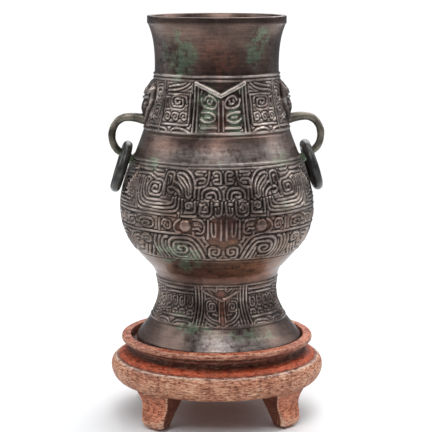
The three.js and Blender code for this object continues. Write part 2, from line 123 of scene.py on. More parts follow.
def vase_outline():
    """Radius and height above the base of the outside, from the foot to the rim."""
    flare = bezier([48.0, 4.4], [43.0, 11.1], [34.4, 20.8], [34.1, 30.3], 24)
    waist = bezier([34.1, 30.3], [34.3, 35.0], [35.0, 38.5], [35.7, 41.0], 8)
    fillet = bezier([35.7, 41.0], [36.2, 42.6], [36.8, 43.9], [37.6, 45.3], 6)
    under = bezier([37.6, 45.3], [48.1, 56.3], [56.0, 65.3], [55.6, 81.3], 30)
    shoulder = bezier([55.6, 81.3], [55.6, 103.8], [35.7, 124.3], [35.7, 163.3], 60)
    mouth = bezier([35.7, 163.3], [35.7, 173.3], [37.0, 180.3], [39.5, 185.8], 20)
    ends = [[48.3, 0.5], [48.35, 3.9]], [[40.0, 186.3], [40.0, 190.1]]
    turns = [curve[1:] for curve in (waist, fillet, under, shoulder, mouth)]
    return np.vstack([ends[0], flare, *turns, ends[1]])


OUTLINE = vase_outline()


def outside(height):
    """Radius of the smooth outside at a height above the floor."""
    return np.interp(height - VASE_BASE, OUTLINE[:, 1], OUTLINE[:, 0])


def per_degree(height):
    """Millimetres round the wall in one degree, at a height above the floor."""
    return float(outside(height)) * math.pi / 180


print("outline points:", len(OUTLINE), "widest radius:", round(float(OUTLINE[:, 0].max()), 1))

# %% [markdown]
# ## Drawing the ornament
#
# On the real vase the ornament was cut into clay section moulds before casting, so it stands as
# rounded ridges about 1 mm high and 1 mm wide with narrow grooves between. Each line is drawn here
# as a soft path in degrees to the right of the middle and millimetres above the floor. Only a
# quarter of each band is drawn: the moulds of such vases repeat, so the quarter is mirrored to the
# left and then to the back. Rounded square spirals, hooks and parallel lines are the traditional
# alphabet of this ornament, so there is one small function for each.

# %% The alphabet of the ornament
def soft(points, rounds=2):
    """A path with its corners rounded off, by cutting each corner twice."""
    path = np.array(points, float)
    for _ in range(rounds):
        inner = np.empty((2 * len(path) - 2, 2))
        inner[0::2] = path[:-1] * 0.75 + path[1:] * 0.25
        inner[1::2] = path[:-1] * 0.25 + path[1:] * 0.75
        path = np.vstack([path[:1], inner, path[-1:]])
    return path


def square_spiral(u, z, width, height, turns, start=0, hand=1, tail=()):
    """A rounded square spiral round (u, z), wound inwards from the side that start names."""
    steps = int(turns * 20)
    angle = start * math.pi / 2 + hand * np.linspace(0, turns * 2 * math.pi, steps + 1)
    cosine, sine = np.cos(angle), np.sin(angle)
    square = (np.abs(cosine) ** 4 + np.abs(sine) ** 4) ** -0.25
    shrink = 1 - 0.86 * np.linspace(0, 1, steps + 1)
    points = np.column_stack([u + cosine * square * shrink * width / 2,
                              z + sine * square * shrink * height / 2])
    if len(tail):
        points = np.vstack([soft(tail), points])
    return points


def soft_lines(rounds, paths):
    """Soft paths from lists of (degrees, millimetres)."""
    return [soft(path, rounds) for path in paths]


def spirals(rows):
    """Square spirals from rows of u, z, width, height, turns, start, hand and perhaps a tail."""
    return [square_spiral(*row) for row in rows]

# %% [markdown]
# ### The belly band
#
# This is the main band, 53 mm high. Its middle is a taotie, a mask seen from the front: two round
# bossed eyes, a plain forehead with the start of a nose, curled brows and jaws made of spirals. Rows of
# small curls fill the height above the eyes, and plumes of parallel lines fill the sides. The lines
# run from the middle of the front to the handle.

# %% The belly band: curls and brows above the eyes, plumes at the sides
BELLY_LINES = soft_lines(2, [
    [(1.5, 143.4), (1.5, 149.6), (5.6, 149.7), (6.4, 147.9), (3.6, 147.5)],
    [(1.5, 143.4), (5.6, 143.2), (6.5, 145.2), (3.6, 145.6)],
    [(8.8, 149.6), (8.7, 144.6), (11.0, 142.0), (17.0, 141.0)],
    [(10.8, 149.8), (16.8, 149.8), (17.6, 147.9), (13.0, 147.9)],
    [(16.8, 142.9), (16.6, 146.0), (11.2, 146.2), (11.0, 144.0), (14.4, 143.7)],
    [(2.0, 135.6), (2.1, 138.8), (4.4, 141.0), (10.2, 141.0), (12.5, 138.8), (12.5, 135.6)],
    [(4.6, 135.6), (4.8, 138.2), (7.6, 138.8), (10.4, 137.8), (10.2, 135.8), (7.4, 136.2)],
    [(14.6, 135.2), (14.7, 140.4)],
    [(1.3, 133.2), (1.4, 126.3), (4.8, 126.2), (4.8, 129.6)],
    [(3.2, 132.2), (4.9, 132.3)],
    [(13.8, 132.4), (14.2, 127.6), (12.6, 125.7), (8.6, 125.7), (7.0, 127.6), (7.0, 133.2)],
    [(22.6, 127.7), (17.2, 127.6), (16.6, 129.2), (16.6, 133.4)],
    [(15.8, 125.7), (24.6, 125.7)],
    [(17.0, 136.2), (17.0, 142.6), (19.8, 148.3), (24.2, 151.0), (33.0, 151.0)],
    [(20.9, 137.6), (21.0, 140.8), (24.2, 144.8), (27.4, 146.9)],
    [(24.3, 136.4), (24.5, 139.6), (28.2, 143.2), (30.4, 143.6)],
    [(26.2, 136.3), (27.4, 139.0), (30.2, 140.6)],
    [(24.4, 127.6), (24.4, 134.4)],
    [(31.2, 142.2), (31.2, 147.6), (32.4, 149.0), (35.8, 149.0), (37.0, 147.4), (37.0, 136.6)],
    [(33.2, 143.6), (33.3, 146.8), (35.0, 146.8)],
    [(31.8, 140.8), (34.4, 140.8), (35.2, 139.0), (33.0, 137.6), (31.0, 138.0)],
    [(40.2, 149.1), (46.6, 149.2), (48.0, 150.8)],
    [(64.0, 149.4), (50.0, 149.2)],
    [(53.6, 144.6), (53.4, 137.0), (50.6, 133.6), (45.0, 133.2), (33.4, 133.2)],
    [(55.8, 144.8), (55.6, 136.0), (52.6, 131.8), (46.0, 131.2), (34.0, 131.3), (30.6, 132.8),
     (30.4, 135.2)],
    [(58.0, 145.0), (57.8, 135.0), (54.6, 129.9), (47.0, 129.3), (31.0, 129.4), (28.6, 131.2),
     (28.5, 135.2)],
    [(60.2, 145.0), (60.0, 134.0), (56.6, 127.9), (48.0, 127.4), (29.0, 127.5), (26.6, 129.6),
     (26.5, 134.8)],
    [(28.0, 125.7), (84.0, 125.7)],
])
BELLY_LINES += soft_lines(1, [
    [(19.2, 138.6), (19.2, 141.4), (22.6, 146.8), (27.0, 149.0), (30.0, 147.8), (27.2, 144.2),
     (22.6, 140.6), (22.4, 136.6), (20.8, 135.4), (19.4, 136.6)],
])
BELLY_LINES += spirals([
    (10.6, 130.0, 5.4, 4.8, 1.3, 1, -1), (20.4, 131.2, 4.4, 4.2, 1.2, 2, -1),
    (44.0, 139.8, 13.0, 9.6, 2.2, 1, 1, [(64.0, 146.8), (50.0, 146.9)]),
])
print("lines above the eyes:", len(BELLY_LINES))

# %% The belly band: the eye row and the plain forehead
BELLY_LINES += soft_lines(2, [
    [(17.8, 123.9), (13.2, 123.6), (11.2, 121.8), (11.2, 117.6), (13.0, 116.0), (15.6, 116.2)],
    [(17.4, 118.9), (14.4, 119.0), (13.6, 117.8)],
    [(25.6, 123.8), (28.6, 122.0), (29.4, 119.4), (28.0, 116.6), (25.4, 115.9)],
    [(39.0, 123.2), (39.0, 116.8)],
    [(4.6, 121.6), (4.7, 115.4), (5.8, 113.9), (6.9, 115.4), (7.0, 121.6)],
    [(27.0, 115.5), (84.0, 115.5)],
])
BELLY_LINES += soft_lines(1, [
    [(1.6, 123.2), (1.6, 112.0)],
    [(9.0, 123.4), (9.2, 113.2)],
])
BELLY_LINES += spirals([
    (33.8, 120.0, 6.4, 6.4, 1.6, 0, 1), (48.6, 119.9, 13.6, 6.4, 1.7, 0, 1),
    (62.6, 119.9, 10.6, 6.4, 1.6, 2, -1),
])
print("lines down to the eyes:", len(BELLY_LINES))

# %% The belly band: jaws, of a big spiral of two strands, hooks and small spirals
BELLY_LINES += soft_lines(2, [
    [(12.0, 100.6), (13.6, 105.2), (16.0, 110.6), (19.6, 113.2), (30.4, 113.3), (33.4, 111.2),
     (34.0, 107.2), (32.6, 103.4), (29.4, 101.6), (23.6, 101.6)],
    [(17.6, 100.6), (19.0, 104.2), (20.0, 107.6)],
    [(34.6, 113.4), (37.2, 112.8), (38.5, 110.4), (38.8, 107.0), (38.0, 103.6), (36.2, 100.8)],
    [(39.4, 113.4), (41.2, 110.4), (41.5, 107.0), (40.8, 103.4), (39.2, 100.8)],
    [(42.4, 113.4), (44.0, 110.2), (44.3, 106.8), (43.6, 103.2), (42.2, 100.8)],
    [(46.4, 106.8), (47.6, 103.4), (50.6, 100.8)],
    [(49.4, 106.6), (51.2, 103.6), (54.4, 100.8)],
    [(66.0, 129.4), (84.0, 129.4)],
    [(66.0, 131.5), (84.0, 131.5)],
    [(68.0, 148.0), (84.0, 148.0)],
])
BELLY_LINES += soft_lines(1, [
    [(14.8, 100.6), (16.6, 104.8), (18.8, 109.4), (21.4, 110.9), (28.8, 110.9), (31.0, 109.2),
     (31.4, 106.2), (29.8, 104.2), (24.4, 104.0), (22.4, 105.6), (22.4, 107.8), (24.4, 108.7),
     (27.4, 108.4), (28.4, 106.8), (26.4, 106.0)],
])
BELLY_LINES += spirals([
    (5.2, 104.9, 8.2, 7.6, 1.55, 3, 1), (50.0, 110.6, 8.4, 5.6, 1.5, 0, 1),
    (60.0, 107.4, 9.0, 9.6, 2.0, 2, -1), (73.6, 107.2, 11.0, 10.0, 2.2, 0, 1),
    (77.0, 119.9, 11.0, 6.4, 1.6, 0, 1), (74.4, 138.6, 13.0, 12.0, 2.3, 2, -1),
])


JAW_TOP = 115


def belly_widths(height):
    """Ridge and groove: the jaws below the eyes are cut bolder than the curls above them."""
    return (1.55, 0.95) if height < JAW_TOP else (1.1, 0.8)


# An eye is (degrees, height, radius, rise). A plain zone is (degrees, height, half width, half height,
# share of dirt and painted shade on its ground), and it has no echo lines.
BELLY_EYE = (22.5, 120.1, 3.5, 1.5)
BELLY_PLAIN = [(0.0, 116.4, 11.6, 10.0, 0.3), (22.5, 120.0, 5.6, 4.6, 0.2)]
print("lines in a quarter of the belly band:", len(BELLY_LINES))

# %% [markdown]
# ### The neck and foot bands
#
# Both are narrower and hold the same creature more simply: a raised V over a nose strip, an eye on
# each side of it, upright dividers, and a side panel of curls. The V on the neck is the boldest line
# of the vase, about 2 mm wide.

# %% The neck band: eyes, dividers and a side panel of curls
NECK_LINES = soft_lines(2, [
    [(13.6, 188.2), (11.6, 190.4), (6.6, 189.8), (2.9, 186.6), (4.6, 183.6), (9.6, 183.2),
     (15.2, 184.6), (16.6, 188.4)],
    [(15.6, 181.2), (9.0, 181.4), (4.0, 179.2), (5.6, 176.6), (12.6, 175.6), (16.4, 177.6)],
    [(12.8, 178.6), (8.6, 178.5)],
    [(7.2, 187.4), (8.2, 185.4), (11.6, 186.4), (10.6, 188.0)],
    [(3.4, 172.9), (15.6, 172.9)],
    [(26.4, 175.2), (26.4, 190.8)],
    [(27.0, 197.2), (33.0, 194.0), (50.0, 192.6)],
    [(31.0, 197.4), (36.0, 196.0), (50.0, 195.0)],
    [(28.6, 191.0), (50.0, 190.6)],
    [(26.6, 174.2), (52.0, 174.2)],
    [(25.0, 170.0), (29.6, 172.2), (39.6, 172.2), (41.6, 170.0)],
    [(45.0, 170.0), (47.0, 172.2), (56.0, 172.2)],
    [(57.0, 172.4), (70.0, 172.4)],
])
NECK_LINES += soft_lines(1, [
    [(1.8, 171.2), (1.8, 187.0)],
    [(19.2, 169.9), (19.2, 197.6)],
    [(22.4, 169.9), (22.4, 197.6)],
    [(54.4, 169.9), (54.4, 197.6)],
])
NECK_LINES += spirals([
    (37.8, 186.6, 17.0, 7.6, 2.0, 2, -1), (31.0, 178.4, 6.6, 5.2, 1.3, 0, 1),
    (39.2, 178.4, 6.6, 5.2, 1.3, 0, 1), (47.4, 178.4, 6.6, 5.2, 1.3, 0, 1),
    (62.6, 190.2, 10.6, 8.2, 1.6, 2, -1), (62.6, 179.6, 10.6, 7.6, 1.6, 0, 1),
])
print("lines in a quarter of the neck band:", len(NECK_LINES))

# %% The foot band: the same face drawn small, with plainer side panels
FOOT_LINES = soft_lines(2, [
    [(2.8, 62.4), (7.6, 63.0), (12.4, 65.4), (13.6, 67.0)],
    [(4.4, 65.6), (8.4, 66.0)],
    [(4.0, 81.4), (4.6, 78.4), (9.6, 80.8)],
    [(27.0, 79.8), (60.0, 79.8)],
    [(27.0, 77.4), (60.0, 77.4)],
    [(28.0, 64.0), (62.0, 64.0)],
    [(27.6, 59.8), (29.6, 61.8), (43.0, 61.8), (45.6, 59.8)],
    [(50.0, 59.8), (52.0, 61.8), (64.0, 61.8), (66.0, 59.8)],
])
FOOT_LINES += soft_lines(1, [
    [(2.4, 61.6), (2.4, 73.2)],
    [(19.8, 60.2), (18.2, 70.0), (18.2, 82.2)],
    [(22.6, 60.2), (21.2, 70.0), (21.0, 82.2)],
    [(26.0, 60.2), (24.4, 70.0), (24.2, 82.2)],
])
FOOT_LINES += spirals([
    (9.6, 70.2, 10.4, 6.6, 1.8, 1, -1),
])
for u in (31.0, 39.4, 47.8, 56.2):
    FOOT_LINES += soft_lines(2, [
        [(u - 2.8, 75.4), (u - 2.8, 70.4), (u, 69.4), (u + 2.6, 70.4), (u + 2.6, 74.4), (u, 74.6)],
        [(u - 2.8, 67.6), (u + 1.6, 67.6), (u + 2.4, 65.6), (u - 0.4, 65.8)],
    ])
FOOT_LINES += spirals([(66.0, 71.0, 9.4, 9.0, 2.0, 2, -1), (77.0, 71.0, 9.4, 9.0, 2.0, 2, -1)])
print("lines in a quarter of the foot band:", len(FOOT_LINES))

# %% The bold V of each band, the widths of ridge and groove, and the plain zones
NECK_BOLD = soft_lines(1, [[(21.0, 197.2), (9.0, 193.2), (0.0, 190.4)]])
FOOT_BOLD = soft_lines(1, [[(17.0, 79.2), (8.4, 76.4), (0.0, 73.4)]])
NECK_WIDTHS, NECK_BOLD_WIDTHS = (1.05, 0.75), (2.5, 1.0)
FOOT_WIDTHS, FOOT_BOLD_WIDTHS = (0.95, 0.7), (1.4, 1.0)
NECK_PLAIN = [(0.0, 183.0, 18.8, 19.0, 0.75), (0.0, 196.5, 14.0, 4.6, 0.6), (0.0, 178.0, 2.4, 9.0, 0.0)]
FOOT_PLAIN = [(0.0, 79.5, 9.0, 4.0, 0.0), (0.0, 67.0, 3.4, 8.0, 0.0)]
print("ridge of the neck's V in mm:", NECK_BOLD_WIDTHS[0], "and of the foot's:", FOOT_BOLD_WIDTHS[0])

# %% [markdown]
# ### From lines to a surface
#
# Real mesh relief needs many small faces only where the ornament is, so the vase wall is a grid of
# 720 columns whose rows stand close together inside a band and far apart on plain bronze. For each
# grid point near a line the distance to it gives the height of a rounded ridge, and the highest
# ridge wins. Old casting is never sharp or even, so the lines waver a little.

# %% The grid, and smooth random values on it
COLUMNS = 720
RIDGE = 1.05
BEARINGS = (np.arange(COLUMNS) + 0.5) * 360 / COLUMNS - 180


def drift(shape, cells, seed):
    """Smooth random values from 0 to 1 that close up round the vase; cells are (rows, columns)."""
    grid = np.random.default_rng(seed).random((cells[0] + 2, cells[1]))
    rows = np.linspace(0, cells[0], shape[0])
    columns = np.linspace(0, cells[1], shape[1], endpoint=False)
    r0, c0 = rows.astype(int), columns.astype(int)
    fr, fc = rows - r0, columns - c0
    fr, fc = (fr * fr * (3 - 2 * fr))[:, None], (fc * fc * (3 - 2 * fc))[None, :]
    at = lambda dr, dc: grid[np.ix_(r0 + dr, (c0 + dc) % cells[1])]
    left, right = (at(0, dc) * (1 - fr) + at(1, dc) * fr for dc in (0, 1))
    return left * (1 - fc) + right * fc


def turned_from(bearing):
    """Degrees from a bearing to every column, the short way round."""
    return (BEARINGS - bearing + 180) % 360 - 180


widest = OUTLINE[:, 0].max() * 2 * math.pi
print("grid columns:", COLUMNS, "so one column is", round(widest / COLUMNS, 2), "mm at the belly")

# %% How far each grid point is from a drawn line
def nearest(points_u, points_z, path, scale):
    """Distance in millimetres from grid points to a path in degrees and millimetres."""
    best = np.full(points_u.shape, 1e9)
    for (u0, z0), (u1, z1) in zip(path[:-1], path[1:]):
        du, dz = (u1 - u0) * scale, z1 - z0
        length = du * du + dz * dz + 1e-9
        pu, pz = (points_u - u0) * scale, points_z - z0
        t = np.clip((pu * du + pz * dz) / length, 0, 1)
        best = np.minimum(best, (pu - t * du) ** 2 + (pz - t * dz) ** 2)
    return np.sqrt(best)


def four_ways(turn):
    """How a quarter is laid round the vase: right and left at the front, left and right at the back."""
    return [(1, turn), (-1, turn), (-1, turn + 180), (1, turn + 180)]


REACH = 7.0
WAVER_ALONG, WAVER_UP = 0.16, 0.14


def measure_line(clear, heights, path, turn, half_width):
    """Keeps, at every grid point, the distance to the edge of the nearest line so far."""
    scale = per_degree(float(np.mean(path[:, 1])))
    rows = np.where((heights > path[:, 1].min() - REACH) & (heights < path[:, 1].max() + REACH))[0]
    for side, shift in four_ways(turn):
        line = path.copy()
        line[:, 0] = side * line[:, 0] + shift
        phase = line[0, 0] * 0.9 + line[0, 1] * 0.7
        line[:, 1] += WAVER_UP * np.sin(line[:, 0] * 0.33 + phase)
        line[:, 0] += WAVER_ALONG * np.sin(line[:, 1] * 0.41 + phase)
        centre = (line[:, 0].min() + line[:, 0].max()) / 2
        span = (line[:, 0].max() - line[:, 0].min()) / 2 + REACH / scale
        away = turned_from(centre)
        columns = np.where(np.abs(away) <= span)[0]
        u = (centre + away[columns])[None, :] * np.ones((len(rows), 1))
        z = heights[rows][:, None] * np.ones((1, len(columns)))
        block = np.ix_(rows, columns)
        clear[block] = np.minimum(clear[block], nearest(u, z, line, scale) - half_width)


print("lines are read within", REACH, "mm of a grid point")

# %% Ridges, and the echoes that fill the ground between them
CROWN_FALL = 0.3
RIDGE_SPREAD, RIDGE_SLOPE = 0.28, 0.5
ECHO_RISE, ECHO_SLOPE = 0.72, 0.44


def ridges(heights, lines, turn, band, widths, plain=(), rise=RIDGE):
    """The height field of a band: its drawn lines, and echo lines that fill the ground between them.

    widths gives ridge and groove in millimetres at a height, plain lists the zones without echo lines.
    """
    clear = np.full((len(heights), COLUMNS), REACH)
    for line in lines:
        ridge, _ = widths(float(np.mean(line[:, 1])))
        measure_line(clear, heights, line, turn, ridge / 2)
    ridge, groove = (np.array([widths(z)[i] for z in heights])[:, None] for i in (0, 1))
    crown = 1 - CROWN_FALL * np.clip(1 + clear / (ridge / 2), 0, 1) ** 2
    drawn = crown * np.clip((RIDGE_SPREAD - clear) / RIDGE_SLOPE, 0, 1)
    step = np.mod(clear - groove, ridge + groove)
    middle = np.minimum(step, ridge - step)
    echo = ECHO_RISE * np.clip(middle / ECHO_SLOPE + 0.5, 0, 1) * (clear > groove * 0.7)
    low, high = band
    inside = (heights > low) & (heights < high)
    ground = inside[:, None] * np.ones((1, COLUMNS))
    filled = ground.copy()
    for u, z, wide, tall, dirt_and_shade in plain:
        for side, shift in four_ways(turn):
            away = turned_from(side * u + shift)
            zone = (away[None, :] / wide) ** 2 + ((heights[:, None] - z) / tall) ** 2 < 1
            filled[zone] = 0
            # Only this share of the ground's dirt and painted shade stays in a plain zone.
            ground[zone] *= dirt_and_shade
    return rise * np.maximum(drawn, echo * filled), ground


print("height of a ridge in mm:", RIDGE)

# %% A bossed eye
EYE_RING, EYE_RING_DEPTH = 0.9, 0.25


def draw_boss(field, heights, eye, turn):
    """A round bossed eye in a sunk ring."""
    u, z, radius, rise = eye
    for side, shift in four_ways(turn):
        away = turned_from(side * u + shift)[None, :] * per_degree(z)
        distance = np.hypot(away, heights[:, None] - z)
        dome = rise * np.sqrt(np.clip(1 - (distance / radius) ** 2, 0, 1))
        ring = (distance >= radius) & (distance < radius + EYE_RING)
        field[distance < radius] = dome[distance < radius]
        field[ring] = -EYE_RING_DEPTH


print("a bossed eye is", 2 * BELLY_EYE[2], "mm across and stands out", BELLY_EYE[3], "mm")

# %% [markdown]
# ### The animal masks
#
# A small ox-like mask sits under each handle on the neck. It was modelled in the mould with the
# rest, so it belongs to the same surface: a shield-shaped plate that stands out most at the brow, two
# curled horns, round eyes, cheeks and a long snout. Each form is a soft bump, and the highest wins.

# %% The masks on the sides
MASK_MIDDLE = 183.5
MASK_HALF = 14


def draw_mask(field, heights, side):
    """Raises the mask at a handle. x is millimetres round the neck from its middle, y is up."""
    across = turned_from(side * 90)[None, :] * per_degree(MASK_MIDDLE)
    x = across * np.ones((len(heights), 1))
    y = (heights[:, None] - MASK_MIDDLE) * np.ones((1, COLUMNS))
    half = np.interp(y, [-14, -12, -5, 3, 9, 13.5, 14], [0.1, 5.0, 7.4, 12.4, 12.4, 11.0, 0.1])
    inside = np.clip((half - np.abs(x)) / 0.9 + 0.5, 0, 1) * np.clip((MASK_HALF - np.abs(y)) / 0.9, 0, 1)
    plate = np.interp(y, [-14, -10, -3, 4, 8, 11, 14], [0.3, 1.1, 2.6, 3.4, 3.0, 1.6, 0.6]) * inside
    snout = 2.4 * np.exp(-(x / 3.6) ** 2 - ((y + 2.0) / 6.0) ** 2) * inside
    ax = np.abs(x)
    brow = 1.3 * np.clip(1 - np.abs(y - 3.4 - 0.16 * ax) / 1.1, 0, 1) * (ax < 9.6)
    horn_path = soft([(2.2, 6.4), (3.6, 11.4), (8.4, 12.2), (10.8, 8.8), (8.8, 6.4), (6.6, 8.2)])
    horn = np.clip((1.7 - nearest(ax, y, horn_path, 1.0)) / 0.8, 0, 1)
    horn *= np.interp(y, [8, 13], [1.6, 0.7])
    eye = 1.7 * np.sqrt(np.clip(1 - ((ax - 5.2) ** 2 + (y + 0.6) ** 2) / 5.3, 0, 1))
    nostril = -0.8 * np.exp(-((ax - 2.0) ** 2 + (y + 9.6) ** 2) / 0.8)
    mouth = -0.7 * np.exp(-((y + 11.6) / 0.6) ** 2) * (ax < 4.6)
    cheek_path = soft([(9.6, -1.6), (7.6, -4.4), (5.4, -8.6)])
    cheek = 0.9 * np.clip((0.9 - nearest(ax, y, cheek_path, 1.0)) / 0.6, 0, 1)
    shape = plate + snout + (np.maximum.reduce([brow, horn, eye, cheek]) + nostril + mouth) * inside
    covered = inside > 0.02
    field[covered] = np.where(inside > 0.6, shape, np.maximum(field, shape))[covered]


print("a mask reaches from", MASK_MIDDLE - MASK_HALF, "to", MASK_MIDDLE + MASK_HALF, "mm above the floor")

# %% [markdown]
# ### Wear, patina, painted highlight and painted shade
#
# Age follows the surface. Ridges are rubbed to a lighter metal and carry a painted highlight, and grooves
# hold dark dirt with painted shade. Between them lie soft patches: green and red corrosion, ochre metal
# where the brown skin is thin, pale patches of painted highlight, and darker patches: painted shade beside
# the handle masks and on the mouth below the rim, and a few more. The patches are listed by where they are
# on the vase.
# Each point of the mesh carries these amounts as attributes, so the material can follow the surface.

# %% Patches of patina
# Each patch is (degrees, height above the floor, half width, half height, strength).
PATCHES = {
    "green": [
        (-37, 219, 11, 8, 1.0), (-30, 211, 8, 6, 0.9), (-41, 203, 9, 6, 0.8), (36, 221, 12, 7, 1.0),
        (31, 211, 8, 7, 0.8), (-56, 212, 8, 9, 0.5), (-12, 187, 9, 8, 0.9), (12, 176, 8, 8, 1.0),
        (-14, 176, 8, 8, 0.7), (17, 194, 4, 7, 0.6), (-30, 103, 20, 7, 0.9), (-50, 152, 12, 5, 0.6),
        (-3, 153, 6, 4, 0.5), (46, 154, 12, 5, 0.6), (-90, 160, 18, 12, 0.6), (90, 160, 18, 12, 0.5),
        (-24, 58, 14, 5, 0.8), (14, 56, 14, 4, 0.8), (38, 54, 9, 4, 0.5), (150, 130, 30, 18, 0.6),
        (-150, 190, 22, 16, 0.6), (170, 100, 26, 10, 0.7), (40, 130, 9, 5, 0.4), (-40, 66, 10, 6, 0.4),
        (-28, 96, 10, 5, 0.7)],
    "red": [
        (0, 178, 6, 10, 0.9), (-8, 163, 16, 3, 0.4), (-46, 162, 14, 3, 0.3), (0, 116, 15, 9, 0.7),
        (0, 90, 60, 6, 0.6), (22, 93, 16, 5, 0.8), (0, 68, 5, 8, 1.0), (30, 120, 12, 6, 0.7),
        (-24, 120, 10, 5, 0.8), (-10, 214, 14, 8, 0.6), (8, 208, 9, 6, 0.7), (-1, 203, 4, 5, 0.9),
        (0, 76, 8, 4, 0.5), (180, 116, 15, 9, 0.8), (180, 90, 60, 6, 0.7), (180, 180, 9, 12, 0.7),
        (48, 90, 26, 8, 0.5)],
    # The pale patches are painted highlights on the shoulder, the foot flare and in upright strips on the
    # sides.
    "pale": [
        (-60, 112, 14, 30, 0.6), (64, 120, 12, 34, 0.7), (2, 50, 26, 6, 1.0), (60, 92, 16, 8, 0.4),
        (-60, 190, 10, 20, 0.5), (60, 190, 10, 20, 0.4), (12, 157, 20, 6, 1.0), (-26, 157, 18, 5, 0.8),
        (40, 159, 14, 6, 0.8), (-62, 215, 9, 14, 0.5)],
    "ochre": [
        (26, 93, 26, 7, 0.9), (-44, 93, 14, 6, 0.5), (-34, 121, 18, 8, 0.6), (58, 116, 14, 18, 0.6),
        (-60, 108, 14, 14, 0.5), (8, 106, 50, 6, 0.5), (150, 96, 30, 9, 0.6), (-130, 118, 20, 14, 0.4)],
    # The dark patches are painted shade beside the handle masks and on the mouth below the rim, and darken
    # a few other places.
    "dark": [
        (-90, 184, 19, 20, 0.9), (90, 184, 19, 20, 0.9), (4, 204, 26, 7, 0.7), (48, 203, 10, 6, 0.6),
        (0, 232, 180, 3, 0.9), (0, 140, 60, 8, 0.3), (0, 106, 70, 7, 0.25), (-20, 166, 30, 3, 0.5)],
}


def patch_amount(kind, heights):
    """Amount of one patina at every grid point, from its soft patches."""
    total = np.zeros((len(heights), COLUMNS))
    for u, z, wide, tall, strength in PATCHES[kind]:
        away = turned_from(u)[None, :]
        total += strength * np.exp(-(away / wide) ** 2 - ((heights[:, None] - z) / tall) ** 2)
    return np.clip(total, 0, 1)


def blurred(field, rounds):
    """The field softened over its neighbours, closing up round the vase."""
    out = field.copy()
    for _ in range(rounds):
        out = (np.roll(out, 1, 1) + np.roll(out, -1, 1) + 2 * out) / 4
        padded = np.vstack([out[:1], out, out[-1:]])
        out = (padded[:-2] + padded[2:] + 2 * padded[1:-1]) / 4
    return out


print("patches:", {kind: len(places) for kind, places in PATCHES.items()})

# %% [markdown]
# ## Building the wall
#
# A hollow casting has an outside and an inside, and each piece here is a closed skin: the outside
# rows run up, the inside rows run down, and the last row joins the first. The body is made as three
# such rings, foot, belly and neck, that meet at plain zones between the bands, because one mesh of it
# would be too heavy to handle. The foot also closes the vessel's floor, with its hollow below, so its
# rows run from a pole under that floor, out and up, and down the inside to a pole on it.

# %% From rows to a closed mesh
def band_rows(low, high, spacing):
    """Evenly spaced rows inside an ornament band."""
    return np.linspace(low, high, int((high - low) / spacing) + 1)


def closed_skin(name, rows, attributes, first_pole, last_pole):
    """Joins rows of ring points into a closed skin. Poles close the ends, otherwise the rows join up."""
    count = len(rows)
    points = rows.reshape(-1, 3)
    columns = np.arange(COLUMNS)
    beyond = (columns + 1) % COLUMNS
    faces = []
    last = count - 1 if first_pole is not None else count
    for row in range(last):
        a, b = row * COLUMNS, ((row + 1) % count) * COLUMNS
        faces.append(np.column_stack([a + columns, a + beyond, b + beyond, b + columns]))
    quads = np.concatenate(faces)
    loops, starts = quads.ravel(), np.arange(len(quads)) * 4
    if first_pole is not None:
        base = len(points)
        points = np.vstack([points, first_pole, last_pole])
        under = np.column_stack([beyond, columns, np.full(COLUMNS, base)])
        over = np.column_stack([columns, beyond, np.full(COLUMNS, base + 1)])
        over[:, :2] += (count - 1) * COLUMNS
        fans = np.concatenate([under, over]).ravel()
        starts = np.concatenate([starts, len(loops) + np.arange(2 * COLUMNS) * 3])
        loops = np.concatenate([loops, fans])
    mesh = bpy.data.meshes.new(name)
    mesh.vertices.add(len(points))
    mesh.vertices.foreach_set("co", (points * MM).ravel())
    mesh.loops.add(len(loops))
    mesh.loops.foreach_set("vertex_index", loops)
    mesh.polygons.add(len(starts))
    mesh.polygons.foreach_set("loop_start", starts)
    mesh.update(calc_edges=True)
    mesh.validate()
    mesh.shade_smooth()
    for label, values in attributes.items():
        data = np.zeros(len(points))
        data[:values.size] = values.ravel()
        mesh.attributes.new(label, "FLOAT", "POINT").data.foreach_set("value", data)
    count_triangles(mesh)
    return put(name, mesh)

# %% Rings of points
def ring_points(radius, heights):
    """Points of rings: radius is rows by columns, heights is a value a row."""
    angle = np.radians(BEARINGS)[None, :]
    z = heights[:, None] * np.ones((1, COLUMNS))
    above = np.clip((FOOT_SET_TOP - (z - VASE_BASE)) / FOOT_SET_TOP, 0, 1)
    return np.stack([radius * np.sin(angle) + FOOT_SET * above, -radius * np.cos(angle), z], axis=-1)


def even_rings(pairs):
    """Even rings from (radius, height) pairs."""
    pairs = np.array(pairs, float).reshape(-1, 2)
    return ring_points(pairs[:, :1] * np.ones((1, COLUMNS)), pairs[:, 1])


def inside_wall(start, end, count):
    """Pairs (radius, height) that lie one wall's thickness inside the outline."""
    return [(float(outside(z)) - WALL, z) for z in np.linspace(start, end, count)]


print("inside radius at the widest row:", round(float(OUTLINE[:, 0].max()) - WALL, 1), "mm")

# %% What wear, painted highlight and painted shade leave on a grid, and one ring of the wall
CAST_ROUGHNESS = 0.16
ROUGH_SEED, RUB_AND_HIGHLIGHT_SEED = 5, 23
BLUR_ROUNDS = 9
GROOVE_DEPTH, RIDGE_START, RIDGE_FULL = 0.42, 0.06, 0.34
LEAST_RUB_AND_HIGHLIGHT, RUB_AND_HIGHLIGHT_SPREAD = 0.3, 1.1
DIRT_AND_SHADE_DEPTH = 0.5


